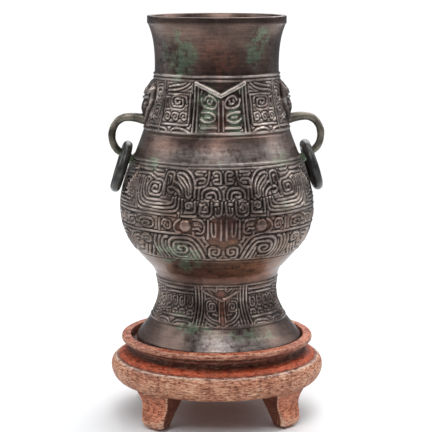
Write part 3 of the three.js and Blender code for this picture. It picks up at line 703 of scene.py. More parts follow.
def relief_amounts(field, ground, rub_and_highlight):
    """How much each grid point is a ridge, rubbed light with painted highlight, and a groove, with grime
    and painted shade.
    """
    around = blurred(field, BLUR_ROUNDS)
    # Grooves sunk below their surroundings get dirt and painted shade.
    sunk = np.clip((around - field) / GROOVE_DEPTH, 0, 1)
    # Ridges that stand above their surroundings are rubbed light and carry a painted highlight, more in
    # some patches than in others.
    worn = LEAST_RUB_AND_HIGHLIGHT + RUB_AND_HIGHLIGHT_SPREAD * drift(field.shape, (len(field) // 14, 44), RUB_AND_HIGHLIGHT_SEED)
    rubbed = np.clip((field - around - RIDGE_START) / RIDGE_FULL, 0, 1) * worn * rub_and_highlight
    return {"crest": rubbed, "groove": np.maximum(sunk, ground * np.clip(1 - field / DIRT_AND_SHADE_DEPTH, 0, 1))}


def wall_piece(name, heights, field, ground, inner, rub_and_highlight, rough_rows, hollow=(), poles=(None, None)):
    """One ring of the vase: the hollow under it, if any, the outside with its relief, and the inside."""
    rough = CAST_ROUGHNESS * (drift(field.shape, (rough_rows, 60), ROUGH_SEED) - 0.5)
    outer = ring_points(outside(heights)[:, None] + (field + rough), heights)
    amounts = relief_amounts(field, ground, rub_and_highlight)
    amounts.update({kind: patch_amount(kind, heights) for kind in PATCHES})
    under = np.zeros((len(hollow), COLUMNS))
    attributes = {label: np.vstack([under, amount]) for label, amount in amounts.items()}
    rows = np.concatenate([even_rings(hollow), outer, even_rings(inner)])
    return closed_skin(name, rows, attributes, *poles)


def border(field, heights, lines, rise, half_width):
    """Plain raised lines right round the vase."""
    for z in lines:
        ridge = rise * np.clip((half_width + 0.3 - np.abs(heights - z)) / 0.6, 0, 1)
        np.maximum(field, ridge[:, None], out=field)

# %% The neck, from the shoulder seam to the rim
ROW, BELLY_ROW = 0.47, 0.52
SEAM_LOW, SEAM_HIGH = 99.2, 168.0
RIM_TOP = VASE_BASE + VASE_HEIGHT
MASK_SHADE = 17


def make_neck():
    """The neck band, the masks, the plain mouth and the rim."""
    low, high = (value + VASE_BASE for value in NECK_BAND)
    heights = np.concatenate([[SEAM_HIGH], band_rows(168.4, high + 2.4, ROW),
                              np.linspace(high + 3.4, 228.6, 16), [229.0, 229.4, 231.0, 232.6, 233.1]])
    field, ground = ridges(heights, NECK_LINES, NECK_TURN, (low + 1.4, high - 2.8),
                           lambda z: NECK_WIDTHS, NECK_PLAIN)
    bold, _ = ridges(heights, NECK_BOLD, NECK_TURN, (0, 0), lambda z: NECK_BOLD_WIDTHS, (), RIDGE + 0.35)
    field = np.maximum(field, bold)
    ground = ground * (bold < 0.2)
    border(field, heights, (low + 0.4, high - 1.9, high + 0.2), 0.8, 0.55)
    for side in (-1, 1):
        draw_mask(field, heights, side)
    inner = [(39.6, RIM_TOP), (37.7, RIM_TOP), (37.2, 233.1)] + inside_wall(230.0, SEAM_HIGH, 14)
    beside = np.exp(-((np.abs(BEARINGS) - 90) / MASK_SHADE) ** 4)[None, :]
    # The bold V gets more rubbing and painted highlight, the bronze beside the masks less.
    rub_and_highlight = (0.85 + 1.6 * (bold > 0.5)) * (1 - 0.6 * beside)
    return wall_piece("vase_neck", heights, field, ground, inner, rub_and_highlight, 8)


vase_neck = make_neck()

# %% The belly, from under the waist fillet to the shoulder seam
def make_belly():
    """The main ornament band and the plain shoulder above it."""
    low, high = (value + VASE_BASE for value in BELLY_BAND)
    heights = np.concatenate([[SEAM_LOW], band_rows(99.6, high + 1.6, BELLY_ROW),
                              np.linspace(high + 2.6, SEAM_HIGH, 11)])
    field, ground = ridges(heights, BELLY_LINES, 0.0, (low + 1.0, high - 2.2), belly_widths, BELLY_PLAIN)
    draw_boss(field, heights, BELLY_EYE, 0.0)
    border(field, heights, (low + 0.1, high + 0.6, high - 1.4), 0.8, 0.55)
    inner = inside_wall(SEAM_HIGH, SEAM_LOW, 16)
    return wall_piece("vase_belly", heights, field, ground, inner, 0.55, 9)


vase_belly = make_belly()

# %% The foot, with the floor of the vessel
def make_foot():
    """The flared hollow foot, its band, the lower belly and the floor."""
    low, high = (value + VASE_BASE for value in FOOT_BAND)
    heights = np.concatenate([[43.0, 43.3, 45.2, 47.0, 47.5], np.linspace(48.5, low - 1.2, 14),
                              band_rows(low - 0.8, high + 0.8, ROW), np.linspace(high + 1.6, SEAM_LOW, 18)])
    field, ground = ridges(heights, FOOT_LINES, 0.0, (low + 1.0, high - 2.6),
                           lambda z: FOOT_WIDTHS, FOOT_PLAIN, RIDGE * 0.9)
    bold, _ = ridges(heights, FOOT_BOLD, 0.0, (0, 0), lambda z: FOOT_BOLD_WIDTHS)
    field = np.maximum(field, bold)
    border(field, heights, (low + 0.2, high - 0.2, high - 1.9), 0.7, 0.5)
    floor_top, floor_under = VASE_BASE + FLOOR_TOP, 76.4
    inner = inside_wall(SEAM_LOW, 84.0, 6) + [(27.0, 80.2), (16.0, floor_top)]
    hollow = [(16.0, floor_under), (28.0, 75.0), (31.0, 72.0)] + inside_wall(70.0, 44.4, 10)
    hollow.append((46.4, VASE_BASE))
    poles = ([0.1, 0, floor_under], [0.1, 0, floor_top])
    return wall_piece("vase_foot", heights, field, ground, inner, 0.45, 10, hollow, poles)


vase_foot = make_foot()

# %% [markdown]
# ## Handles and rings
#
# The loops and the drop rings were cast as round rods. A rod that follows a path is what Geometry
# Nodes do best: one small tree takes a path of edges, turns it into a curve, gives it a round
# section whose radius is read at each point, closes the ends and sets the material. The same tree
# makes the two loops, which are thicker at their roots, and the two rings, which are even.

# %% How every geometry tree starts and ends
def begin_tree(name, inlet, outlet, sizes):
    """A geometry tree with one shape in and one out, a named input for each size, and the material."""
    tree = bpy.data.node_groups.new(name, "GeometryNodeTree")
    sockets = [(inlet, "INPUT", "Geometry"), (outlet, "OUTPUT", "Geometry")]
    sockets += [(label, "INPUT", kind) for label, kind in sizes] + [("Material", "INPUT", "Material")]
    for label, way, kind in sockets:
        tree.interface.new_socket(label, in_out=way, socket_type="NodeSocket" + kind)
    return tree, add(tree, "NodeGroupInput")


def end_tree(tree, entry, shape):
    """Instances are made real, because the export drops them, and the material is set."""
    real = add(tree, "GeometryNodeRealizeInstances", None, {0: shape})
    coat = add(tree, "GeometryNodeSetMaterial", None, {0: real.outputs[0], 2: entry.outputs["Material"]})
    add(tree, "NodeGroupOutput", None, {0: coat.outputs[0]})
    print(tree.name, "has the inputs", [s.name for s in tree.interface.items_tree if s.in_out == "INPUT"])
    return tree

# %% A tree that puts a round rod on a path
def rod_tree():
    """Geometry Nodes: path of edges in, rod out. Inputs are the radius and the sides of the section."""
    tree, entry = begin_tree("rod_on_a_path", "Path", "Rod", [("Radius", "Float"), ("Sides", "Int")])
    swell = add(tree, "GeometryNodeInputNamedAttribute", {"data_type": "FLOAT"}, {0: "swell"})
    radius = add(tree, "ShaderNodeMath", TIMES, {0: entry.outputs["Radius"], 1: swell.outputs[0]})
    path = add(tree, "GeometryNodeMeshToCurve", None, {0: entry.outputs["Path"]})
    section = add(tree, "GeometryNodeCurvePrimitiveCircle", None, {0: entry.outputs["Sides"], 4: 1.0})
    rod = add(tree, "GeometryNodeCurveToMesh", None,
              {0: path.outputs[0], 1: section.outputs[0], "Fill Caps": True})
    if "Scale" in rod.inputs:
        tree.links.new(radius.outputs[0], rod.inputs["Scale"])
    else:
        thick = add(tree, "GeometryNodeSetCurveRadius", None, {0: path.outputs[0], 2: radius.outputs[0]})
        tree.links.new(thick.outputs[0], rod.inputs[0])
    smooth = add(tree, "GeometryNodeSetShadeSmooth", None, {0: rod.outputs[0]})
    return end_tree(tree, entry, smooth.outputs[0])

# %% From a seed mesh through a tree to a plain mesh
def chain(points, closed=False):
    """Edges that join points in a row, and the last to the first in a closed one."""
    return [(index, (index + 1) % len(points)) for index in range(len(points) - (not closed))]


def grow(name, points, edges, tree, values, floats=None, faces=()):
    """Runs a geometry tree on a small mesh and returns the result as a plain mesh piece."""
    seed = bpy.data.meshes.new(name + "_seed")
    seed.from_pydata([tuple(np.array(point) * MM) for point in points], edges, faces)
    for label, data in (floats or {}).items():
        seed.attributes.new(label, "FLOAT", "POINT").data.foreach_set("value", data.astype(float))
    piece = put(name, seed)
    modifier = piece.modifiers.new("grow", "NODES")
    modifier.node_group = tree
    for item in tree.interface.items_tree:
        if item.in_out == "INPUT" and item.name in values:
            modifier[item.identifier] = values[item.name]
    graph = bpy.context.evaluated_depsgraph_get()
    mesh = bpy.data.meshes.new_from_object(piece.evaluated_get(graph), preserve_all_data_layers=True,
                                           depsgraph=graph)
    piece.modifiers.clear()
    piece.data = mesh
    mesh.name = name
    count_triangles(mesh)
    return piece

# %% [markdown]
# ### The loops
#
# Each loop is an upright oval of wire whose plane faces the front. It leaves the mask's chin, bends
# out and down, and comes back to the shoulder, where solder and green corrosion thicken its root.

# %% The two loop handles
LOOP_MIDDLE = (51.2, VASE_BASE + 121.5)
LOOP_HALF = (9.5, 10.9)
LOOP_WIRE_RADIUS = 2.05
LOOP_SIDES = 28
LOOP_OPENING = 78


def loop_path():
    """Centre of the wire: distance out from the vase's axis, and height above the floor."""
    turn = np.radians(np.linspace(LOOP_OPENING, -LOOP_OPENING, 30))
    oval = np.column_stack([middle + half * wave for middle, half, wave
                            in zip(LOOP_MIDDLE, LOOP_HALF, (np.cos(turn), np.sin(turn)))])
    top = bezier([39.4, VASE_BASE + 130.4], [43.0, VASE_BASE + 131.2], [48.0, VASE_BASE + 133.0],
                 oval[0], 8)
    root_height = VASE_BASE + 106.9
    root_out = float(outside(root_height)) - 1.2
    root = bezier(oval[-1], [51.0, oval[-1][1] - 1.2], [root_out + 3.4, root_height + 1.6],
                  [root_out, root_height], 8)
    return np.vstack([top[:-1], oval, root[1:]])


def loop_handle(name, side, tree, material):
    """One loop, thicker at both roots."""
    path = loop_path()
    steps = np.linspace(0, 1, len(path))
    swell = 1.03 + 0.45 * np.exp(-(steps / 0.15) ** 2) + 0.40 * np.exp(-((1 - steps) / 0.11) ** 2)
    swell += 0.03 * np.sin(steps * 31) + 0.02 * np.sin(steps * 57 + side)
    waver = 0.25 * np.sin(0.6 * np.arange(len(path)))
    points = np.column_stack([side * path[:, 0], waver, path[:, 1]])
    values = {"Radius": LOOP_WIRE_RADIUS * MM, "Sides": LOOP_SIDES, "Material": material}
    return grow(name, points, chain(points), tree, values, {"swell": swell})

# %% [markdown]
# ### The drop rings
#
# A plain ring hangs in each loop, leaning against the shoulder. It was cast shut round the loop, so it
# has no joint, and years of handling left it smooth and nearly black.

# %% The two drop rings
RING_RADIUS = 12.55
RING_MIDDLE = (55.29, 146.8)
RING_LEAN = math.radians(17.5)
RING_WIRE_RADIUS = 2.82
RING_STEPS, RING_SIDES = 96, 32


def drop_ring(name, side, tree, material):
    """One ring, its plane upright but for the lean that rests it on the shoulder."""
    turns = np.linspace(0, 2 * math.pi, RING_STEPS, endpoint=False)
    points = []
    for turn in turns:
        across, up = RING_RADIUS * math.sin(turn), RING_RADIUS * math.cos(turn)
        points.append((side * (RING_MIDDLE[0] - up * math.sin(RING_LEAN)), across,
                       RING_MIDDLE[1] + up * math.cos(RING_LEAN)))
    swell = 1 + 0.02 * np.sin(turns * 3 + side) + 0.012 * np.sin(turns * 7)
    values = {"Radius": RING_WIRE_RADIUS * MM, "Sides": RING_SIDES, "Material": material}
    return grow(name, points, chain(points, closed=True), tree, values, {"swell": swell})

# %% [markdown]
# ## The wooden stand
#
# The stand was turned on a lathe, so its shape follows a rule: one side view, spun round the axis.
# A small geometry tree does the same. It takes the side view as a path, runs it round a circle and
# merges the points that meet on the axis. Every edge of the side view is eased a little, because
# worn lacquered wood has no sharp corner to catch the light.

# %% A tree that works as a lathe
STAND_TOP = 47.7
RECESS_FLOOR = 42.7
LEG_HEIGHT = 21.6
DRUM_SIDES = 192


def lathe_tree():
    """Geometry Nodes: side view in, turned body out. Sides is the number of faces round the axis."""
    tree, entry = begin_tree("turned_on_a_lathe", "Side view", "Body", [("Sides", "Int")])
    view = add(tree, "GeometryNodeMeshToCurve", None, {0: entry.outputs["Side view"]})
    circle = add(tree, "GeometryNodeCurvePrimitiveCircle", None, {0: entry.outputs["Sides"], 4: MM})
    upright = add(tree, "GeometryNodeSetCurveNormal", {"mode": "Z_UP"}, {0: circle.outputs[0]})
    body = add(tree, "GeometryNodeCurveToMesh", None, {0: upright.outputs[0], 1: view.outputs[0]})
    closed = add(tree, "GeometryNodeMergeByDistance", None, {0: body.outputs[0], "Distance": 0.02 * MM})
    smooth = add(tree, "GeometryNodeSetShadeSmooth", None, {0: closed.outputs[0]})
    return end_tree(tree, entry, smooth.outputs[0])

# %% The side view of the drum
def eased(points, radius, count=4):
    """A side view with each corner replaced by a small arc."""
    points = [np.array(point, float) for point in points]
    out = [points[0]]
    for before, corner, after in zip(points[:-2], points[1:-1], points[2:]):
        back, ahead = np.linalg.norm(before - corner), np.linalg.norm(after - corner)
        reach = min(radius, back * 0.45, ahead * 0.45)
        start = corner + (before - corner) / back * reach
        end = corner + (after - corner) / ahead * reach
        for t in np.linspace(0, 1, count):
            out.append((1 - t) ** 2 * start + 2 * t * (1 - t) * corner + t * t * end)
    out.append(points[-1])
    return out


def drum_side_view():
    """The drum from the middle of its underside to the middle of the recess."""
    barrel = bezier([58.5, LEG_HEIGHT], [62.0, 23.4], [64.8, 32.2], [59.3, 34.7], 16)
    points = [
        [0.0, LEG_HEIGHT], [40.0, LEG_HEIGHT], *barrel.tolist(), [59.15, 34.95], [58.0, 35.0], [57.9, 35.3],
        [55.4, 37.2], [52.4, 38.0], [52.0, 38.4], [50.9, 39.2], [50.4, 40.3], [50.4, 42.9], [51.2, 43.6],
        [55.0, 44.0], [56.0, 44.8], [56.2, 45.9], [55.9, 47.0], [55.0, 47.6], [53.4, STAND_TOP],
        [51.2, STAND_TOP], [50.8, 47.4], [50.8, RECESS_FLOOR], [20.0, RECESS_FLOOR], [0.0, RECESS_FLOOR]]
    return eased(points, 0.3)


def stand_drum(tree, material):
    """The turned drum with its cove and recess. The circle's radius of 1 mm comes off the side view."""
    points = [(radius - 1.0, -height, 0.0) for radius, height in drum_side_view()]
    return grow("stand_drum", points, chain(points), tree, {"Sides": DRUM_SIDES, "Material": material})


print("points in the side view of the drum:", len(drum_side_view()))

# %% [markdown]
# ### The legs
#
# The four legs were sawn out of one turned ring, so they share one side view: a foot that flares at
# the toe, and a slim ankle. One leg is modelled with rounded edges, and a third small tree repeats it
# at equal turns, as a maker would mark out four legs. Each point also knows whether it lies on a
# sawn side or the back, which get painted shade, or on an edge that wears light.

# %% One leg
LEG_COUNT = 4
FIRST_LEG = math.radians(45)


def leg_mesh():
    """One leg that faces -Y, in millimetres: points, faces, and amounts of painted shade on its sides and
    back and of worn edge.
    """
    back = bezier([42.9, 23.6], [44.2, 17.7], [47.6, 9.9], [49.2, 0.0], 12)
    front = [[53.7, 0.0], [56.9, 1.6], [58.2, 4.0], [56.9, 8.0], [55.0, 13.0], [55.8, 17.0], [57.4, 20.4],
             [58.5, 23.6]]
    view = np.array(eased([[51.6, 0.0]] + front, 1.5, 5) + back[:-1].tolist() + [[49.4, 0.0]])
    height = view[:, 1]
    middle = np.column_stack([np.interp(height, [0, 5, 12, 23.6], [51.6, 54.4, 51.2, 49.5]), height])
    half = np.interp(height, [0, 1.6, 4, 11, 16, 19.6, 23.6], [5.5, 7.7, 8.3, 9.4, 10.4, 11.6, 13.6])
    edge = np.interp(height, [0, 4, 9, 14], [3.6, 3.0, 1.5, 1.0])
    sections, shaded_flank, wear = [], [], []
    near_edge = [0.88, 0.93, 0.965, 0.99, 1]
    sides = np.concatenate([[-side for side in near_edge[::-1]], np.linspace(-0.8, 0.8, 9), near_edge])
    for side in sides:
        start = 1 - edge / half
        depth = np.maximum(0, abs(side) - start) / (1 - start)
        inset = edge * (1 - np.sqrt(1 - np.minimum(depth, 1) ** 2))
        inward = middle - view
        room = np.linalg.norm(inward, axis=1) + 1e-6
        moved = view + inward * (np.minimum(inset, room * 0.8) / room)[:, None]
        moved[:, 1] += inset * np.clip((2.0 - height) / 2.0, 0, 1)
        across = side * half
        sections.append(np.column_stack([across, -np.sqrt(moved[:, 0] ** 2 - across ** 2), moved[:, 1]]))
        # The back and the sawn sides get painted shade.
        inner = (np.arange(len(view)) > len(view) - len(back) - 1) | (abs(side) > 0.975)
        shaded_flank.append(inner & (height > 1.0))
        wear.append(~inner * ((depth > 0.15) * 0.9 + np.exp(-((height - 3.6) / 1.4) ** 2) * 0.8))
    count = len(view)
    faces = []
    for row in range(len(sections) - 1):
        for step in range(count):
            here, beyond = row * count + step, row * count + (step + 1) % count
            faces.append((here, beyond, beyond + count, here + count))
    faces.append(tuple(range(count - 1, -1, -1)))
    faces.append(tuple((len(sections) - 1) * count + step for step in range(count)))
    return np.vstack(sections), faces, {"shaded_flank": np.concatenate(shaded_flank), "wear": np.concatenate(wear)}


print("points of one leg:", len(leg_mesh()[0]))

# %% A tree that repeats the leg, and a check of the faces
def legs_tree():
    """Geometry Nodes: one leg in, Count legs out at equal turns, the first at First turn."""
    tree, entry = begin_tree("legs_round_the_axis", "Leg", "Legs",
                             [("Count", "Int"), ("First turn", "Float")])
    step = add(tree, "ShaderNodeMath", {"operation": "DIVIDE"}, {0: 2 * math.pi, 1: entry.outputs["Count"]})
    index = add(tree, "GeometryNodeInputIndex")
    turned = add(tree, "ShaderNodeMath", {"operation": "MULTIPLY_ADD"},
                 {0: index.outputs[0], 1: step.outputs[0], 2: entry.outputs["First turn"]})
    angles = add(tree, "ShaderNodeCombineXYZ", None, {2: turned.outputs[0]})
    rotation = add(tree, "FunctionNodeEulerToRotation", None, {0: angles.outputs[0]})
    places = add(tree, "GeometryNodePoints", None, {0: entry.outputs["Count"]})
    smooth = add(tree, "GeometryNodeSetShadeSmooth", None, {0: entry.outputs["Leg"]})
    repeated = add(tree, "GeometryNodeInstanceOnPoints", None,
                   {0: places.outputs[0], 2: smooth.outputs[0], 5: rotation.outputs[0]})
    return end_tree(tree, entry, repeated.outputs[0])


def facing_out(piece):
    """Turns the faces of a closed mesh outwards."""
    body = bmesh.new()
    body.from_mesh(piece.data)
    bmesh.ops.recalc_face_normals(body, faces=body.faces)
    body.to_mesh(piece.data)
    body.free()
    return piece

# %% [markdown]
# ## The finishes
#
# ** Patinated cast bronze.** Bronze is a metal, but centuries of patina cover it with a thin mineral
# skin, so it shines only softly. The base is dark brown that varies over a few centimetres. Coats are
# laid over it by the amounts that the mesh carries: red cuprite, darker patches that are partly painted
# shade, pale patches of painted highlight, ochre metal, dirt with painted shade in the grooves, green
# malachite, and ridges rubbed light with a painted highlight. Noises break up a coat so that its edge
# frays.

# %% Tools for the finishes
NOISE = ("Vector", "Scale", "Detail", "Roughness")
RANGE = (0, 1, 2, 3, 4)


def grain(size):
    """Scale of a noise whose patches are about size millimetres."""
    return 1 / (size * MM)


def add_rows(tree, kind, sockets, rows):
    """Adds a node for each row of a label and the sockets' values, and returns the outputs by label."""
    return {label: add(tree, kind, None, dict(zip(sockets, values))).outputs[0] for label, *values in rows}


def lay_coat(tree, paint, amount, tone, start, full, strength, where=None):
    """Lays a tone over the paint, from nothing where amount is start to strength where it is full."""
    level = add(tree, "ShaderNodeMapRange", None,
                {0: amount, 1: start, 2: full, 3: 0.0, 4: strength}).outputs[0]
    if where:
        level = add(tree, "ShaderNodeMath", TIMES, {0: level, 1: where}).outputs[0]
    return add(tree, "ShaderNodeMix", COLOURS, {0: level, 6: paint, 7: tone}).outputs[2]


def blank_finish(name):
    """A node material with its shader and Object coordinates."""
    material = bpy.data.materials.new(name)
    material.use_nodes = True
    tree = material.node_tree
    tree.nodes.clear()
    shader = add(tree, "ShaderNodeBsdfPrincipled")
    add(tree, "ShaderNodeOutputMaterial", None, {0: shader.outputs[0]})
    place = add(tree, "ShaderNodeTexCoord").outputs["Object"]
    return material, tree, shader, place


def plug_in(tree, shader, paint, gloss, height, strength, depth):
    """Gives the shader its colour, roughness and a fine bump, and returns the bump."""
    bump = add(tree, "ShaderNodeBump", None,
               {"Strength": strength, "Distance": depth * MM, "Height": height})
    for socket, value in (("Base Color", paint), ("Roughness", gloss), ("Normal", bump.outputs[0])):
        tree.links.new(value, shader.inputs[socket])
    return bump.outputs[0]


print("a grain of 3 mm is a noise scale of", round(grain(3)))

# %% Cast bronze with patina
def patinated_bronze():
    """The vase: brown patina under coats that follow the mesh's amounts."""
    material, tree, shader, place = blank_finish("patinated_cast_bronze")
    level = add(tree, "ShaderNodeMapping", None, {"Vector": place, "Scale": (1, 1, 12)}).outputs[0]
    noise = add_rows(tree, "ShaderNodeTexNoise", NOISE, [
        ("broad", place, grain(24), 5.0, 0.62), ("fine", place, grain(3.0), 6.0, 0.7),
        ("speck", place, grain(0.8), 3.0, 0.5), ("blots", place, grain(6), 6.0, 0.7),
        ("brushed", level, grain(14), 5.0, 0.7)])
    cut = add_rows(tree, "ShaderNodeMapRange", RANGE, [
        ("blend", noise["broad"], 0.36, 0.64, 0.0, 1.0), ("patchy", noise["broad"], 0.38, 0.62, 0.35, 1.2),
        ("ragged", noise["fine"], 0.36, 0.62, 0.1, 1.35), ("gloss", noise["fine"], 0.3, 0.7, 0.24, 0.42),
        ("blotchy", noise["blots"], 0.42, 0.6, 0.1, 1.4), ("dots", noise["speck"], 0.36, 0.5, 0.8, 1.0),
        ("lines", noise["brushed"], 0.34, 0.66, 0.66, 1.3)])
    paint = add(tree, "ShaderNodeMix", COLOURS,
                {0: cut["blend"], 6: colour("#3f312c"), 7: colour("#745e54")}).outputs[2]
    crust = add(tree, "ShaderNodeMix", COLOURS,
                {0: noise["fine"], 6: colour("#2f3a2b"), 7: colour("#84957c")}).outputs[2]
    # Each coat is an amount, its tone and strength, the noise that frays it, its start and its full.
    coats = [
        ("red", colour("#8b5544"), 0.75, "ragged", 0.0, 1.0),
        # The dark coat is partly painted shade.
        ("dark", colour("#2b211e"), 0.75, None, 0.0, 1.0),
        # The pale coat is painted highlight.
        ("pale", colour("#bdb7b3"), 0.42, "ragged", 0.0, 1.0),
        ("ochre", colour("#8d6a48"), 0.6, "ragged", 0.0, 1.0),
        # The groove coat is dirt with painted shade, in the grooves and on the ground of the bands.
        ("groove", colour("#15100e"), 0.97, None, 0.0, 1.0),
        ("green", crust, 0.82, "blotchy", 0.15, 0.75),
        # The crest coat is rubbed metal with a painted highlight on the ridges.
        ("crest", colour("#d6cac0"), 0.88, "patchy", 0.0, 1.0)]
    for label, tone, strength, edge, start, full in coats:
        amount = add(tree, "ShaderNodeAttribute", {"attribute_name": label}).outputs["Fac"]
        if edge:
            amount = add(tree, "ShaderNodeMath", TIMES, {0: amount, 1: cut[edge]}).outputs[0]
        paint = lay_coat(tree, paint, amount, tone, start, full, strength)
    shade = add(tree, "ShaderNodeMath", TIMES, {0: cut["dots"], 1: cut["lines"]}).outputs[0]
    paint = add(tree, "ShaderNodeMix", {"data_type": "RGBA", "blend_type": "MULTIPLY"},
                {0: 1.0, 6: paint, 7: shade}).outputs[2]
    grit = plug_in(tree, shader, paint, cut["gloss"], noise["fine"], 0.6, 0.15)
    pits = add(tree, "ShaderNodeBump", None,
               {"Strength": 0.4, "Distance": 0.06 * MM, "Height": noise["speck"], "Normal": grit})
    tree.links.new(pits.outputs[0], shader.inputs["Normal"])
    shader.inputs["Metallic"].default_value = 0.7
    return material


bronze = patinated_bronze()
print(bronze.name, "has", len(bronze.node_tree.nodes), "nodes")

# %% [markdown]
# **Handled bronze.** The loops and rings are the same metal. The rings were rubbed smooth, so they are
# near black with a soft gloss. The loops keep more crust, and their roots are green.

# %% Bronze of the loops and of the rings
CRUST_TOP, CRUST_FULL = 158, 150


def handled_bronze(name, dark, light, glossy, dull, crust):
    """Bronze rod: dark and light tones in patches, and an amount of green crust near the roots."""
    material, tree, shader, place = blank_finish(name)
    noise = add_rows(tree, "ShaderNodeTexNoise", NOISE, [
        ("broad", place, grain(9), 4.0, 0.5), ("fine", place, grain(1.6), 4.0, 0.5)])
    cut = add_rows(tree, "ShaderNodeMapRange", RANGE, [
        ("tone", noise["broad"], 0.4, 0.66, 0.0, 1.0), ("gloss", noise["fine"], 0.3, 0.7, glossy, dull)])
    paint = add(tree, "ShaderNodeMix", COLOURS,
                {0: cut["tone"], 6: colour(dark), 7: colour(light)}).outputs[2]
    high = add(tree, "ShaderNodeSeparateXYZ", None, {0: place}).outputs[2]
    near_root = add(tree, "ShaderNodeMapRange", {"interpolation_type": "SMOOTHSTEP"},
                    {0: high, 1: CRUST_TOP * MM, 2: CRUST_FULL * MM})
    ragged = add(tree, "ShaderNodeMath", {"operation": "MULTIPLY_ADD"}, {0: noise["fine"], 1: 3.0, 2: -0.9})
    green = add(tree, "ShaderNodeMath", {"operation": "MULTIPLY", "use_clamp": True},
                {0: near_root.outputs[0], 1: ragged.outputs[0]})
    paint = lay_coat(tree, paint, green.outputs[0], colour("#8fa486"), 0.0, 1.0, crust)
    plug_in(tree, shader, paint, cut["gloss"], noise["fine"], 0.4, 0.1)
    shader.inputs["Metallic"].default_value = 0.5
    return material


loop_bronze = handled_bronze("crusted_loop_bronze", "#3c382f", "#857d70", 0.3, 0.5, 0.9)
ring_bronze = handled_bronze("rubbed_ring_bronze", "#302f2e", "#575450", 0.26, 0.42, 0.0)
print("handled bronzes:", loop_bronze.name, "and", ring_bronze.name)

# %% [markdown]
# **Worn red lacquer on turned wood.** The lacquer is a thin translucent red-brown coat. It has rubbed
# through to tan wood on the fullest parts, most at the edges, and the lathe left fine lines that run
# level round the body. So one ramp gives the colour at each height. Noises drawn out along the level
# give light and dark streaks and dashes, one drawn out upright gives the rays of the grain, and a
# broad one the darker patches.

# %% The colours of the stand by height
# Each stop is a height above the floor and the tone there.
# The pale stops from 34.1 to 34.8 mm are a painted highlight along the top edge of the barrel.
STAND_TONES = [
    (0.0, "#cb8d70"), (3.0, "#d38d70"), (9.0, "#d27f60"), (18.5, "#c37050"), (21.4, "#854632"),
    (23.0, "#ab6c52"), (28.0, "#c28468"), (33.0, "#bb775c"), (34.1, "#c8937d"), (34.4, "#ecd2c4"),
    (34.8, "#e4c3b3"), (35.0, "#4d1c14"), (35.3, "#a3432b"), (36.2, "#c95833"), (37.4, "#b2472b"),
    (38.2, "#44170f"), (39.2, "#2f0f0a"), (40.7, "#45190f"), (41.5, "#9c4e3a"), (42.1, "#3d150d"),
    (43.8, "#250907"), (44.3, "#6f3328"), (45.4, "#a06252"), (46.6, "#ab6f5c"), (47.05, "#d2a390"),
    (47.4, "#cb6e52"), (47.69, "#c16041")]
print("tones of the stand:", len(STAND_TONES))

# %% Worn lacquered wood
def lacquered_wood():
    """The stand: zones of colour by height, level streaks, dark patches, worn light edges."""
    material, tree, shader, place = blank_finish("worn_red_lacquer_on_turned_wood")
    high = add(tree, "ShaderNodeSeparateXYZ", None, {0: place}).outputs[2]
    share = add(tree, "ShaderNodeMath", {"operation": "DIVIDE"}, {0: high, 1: STAND_TOP * MM})
    zones = add(tree, "ShaderNodeValToRGB", None, {0: share.outputs[0]})
    stops = zones.color_ramp.elements
    for height, tone in STAND_TONES:
        stops.new(height / STAND_TOP).color = colour(tone)
    stops.remove(stops[0])
    stops.remove(stops[-1])
    level = add(tree, "ShaderNodeMapping", None, {"Vector": place, "Scale": (1, 1, 5)}).outputs[0]
    upright = add(tree, "ShaderNodeMapping", None, {"Vector": place, "Scale": (1, 1, 0.22)}).outputs[0]
    noise = add_rows(tree, "ShaderNodeTexNoise", NOISE, [
        ("streak", level, grain(6), 8.0, 0.8), ("dash", level, grain(3.2), 5.0, 0.75),
        ("rays", upright, grain(3.4), 6.0, 0.75), ("patch", place, grain(13), 6.0, 0.65)])
    cut = add_rows(tree, "ShaderNodeMapRange", RANGE, [
        ("barrel", high, 34.6 * MM, 35.4 * MM, 1.0, 0.2), ("rim", high, 43.8 * MM, 44.6 * MM, 0.0, 0.5),
        ("legs", high, 19.0 * MM, 24.0 * MM, 0.5, 1.0), ("lit", noise["patch"], 0.38, 0.6, 0.4, 1.0),
        ("chips", noise["dash"], 0.42, 0.56, 0.1, 1.0), ("gloss", noise["streak"], 0.35, 0.7, 0.45, 0.65)])
    bare = add(tree, "ShaderNodeMath", {"operation": "ADD"}, {0: cut["barrel"], 1: cut["rim"]}).outputs[0]
    for label in ("legs", "lit"):
        bare = add(tree, "ShaderNodeMath", TIMES, {0: bare, 1: cut[label]}).outputs[0]
    # Each coat is a noise, where it starts and is full, its strength and tone, and where it may lie.
    coats = [("patch", 0.5, 0.36, 0.5, "#84462f", None), ("streak", 0.46, 0.6, 0.8, "#cf9c79", bare),
             ("rays", 0.49, 0.38, 0.8, "#7a4230", None), ("dash", 0.52, 0.6, 0.9, "#dfba9c", bare),
             ("dash", 0.48, 0.4, 0.9, "#55271b", None), ("streak", 0.45, 0.35, 0.85, "#4a2018", None)]
    paint = zones.outputs[0]
    for source, start, full, strength, tone, where in coats:
        paint = lay_coat(tree, paint, noise[source], colour(tone), start, full, strength, where)
    # The sides and backs of the legs get painted shade, and their edges lighter wear.
    marks = [("wear", 0.7, "#e2bfa5", cut["chips"]), ("shaded_flank", 0.85, "#4a231a", None)]
    for label, strength, tone, where in marks:
        amount = add(tree, "ShaderNodeAttribute", {"attribute_name": label}).outputs["Fac"]
        paint = lay_coat(tree, paint, amount, colour(tone), 0.0, 1 / strength, 1.0, where)
    plug_in(tree, shader, paint, cut["gloss"], noise["streak"], 0.3, 0.08)
    shader.inputs["Specular IOR Level"].default_value = 0.18
    return material


wood = lacquered_wood()
print(wood.name, "has", len(wood.node_tree.nodes), "nodes")

# %% [markdown]
# ## Putting it together
#
# Each finished piece rides on the one body of this part and stands for its CAD node, which is hidden.

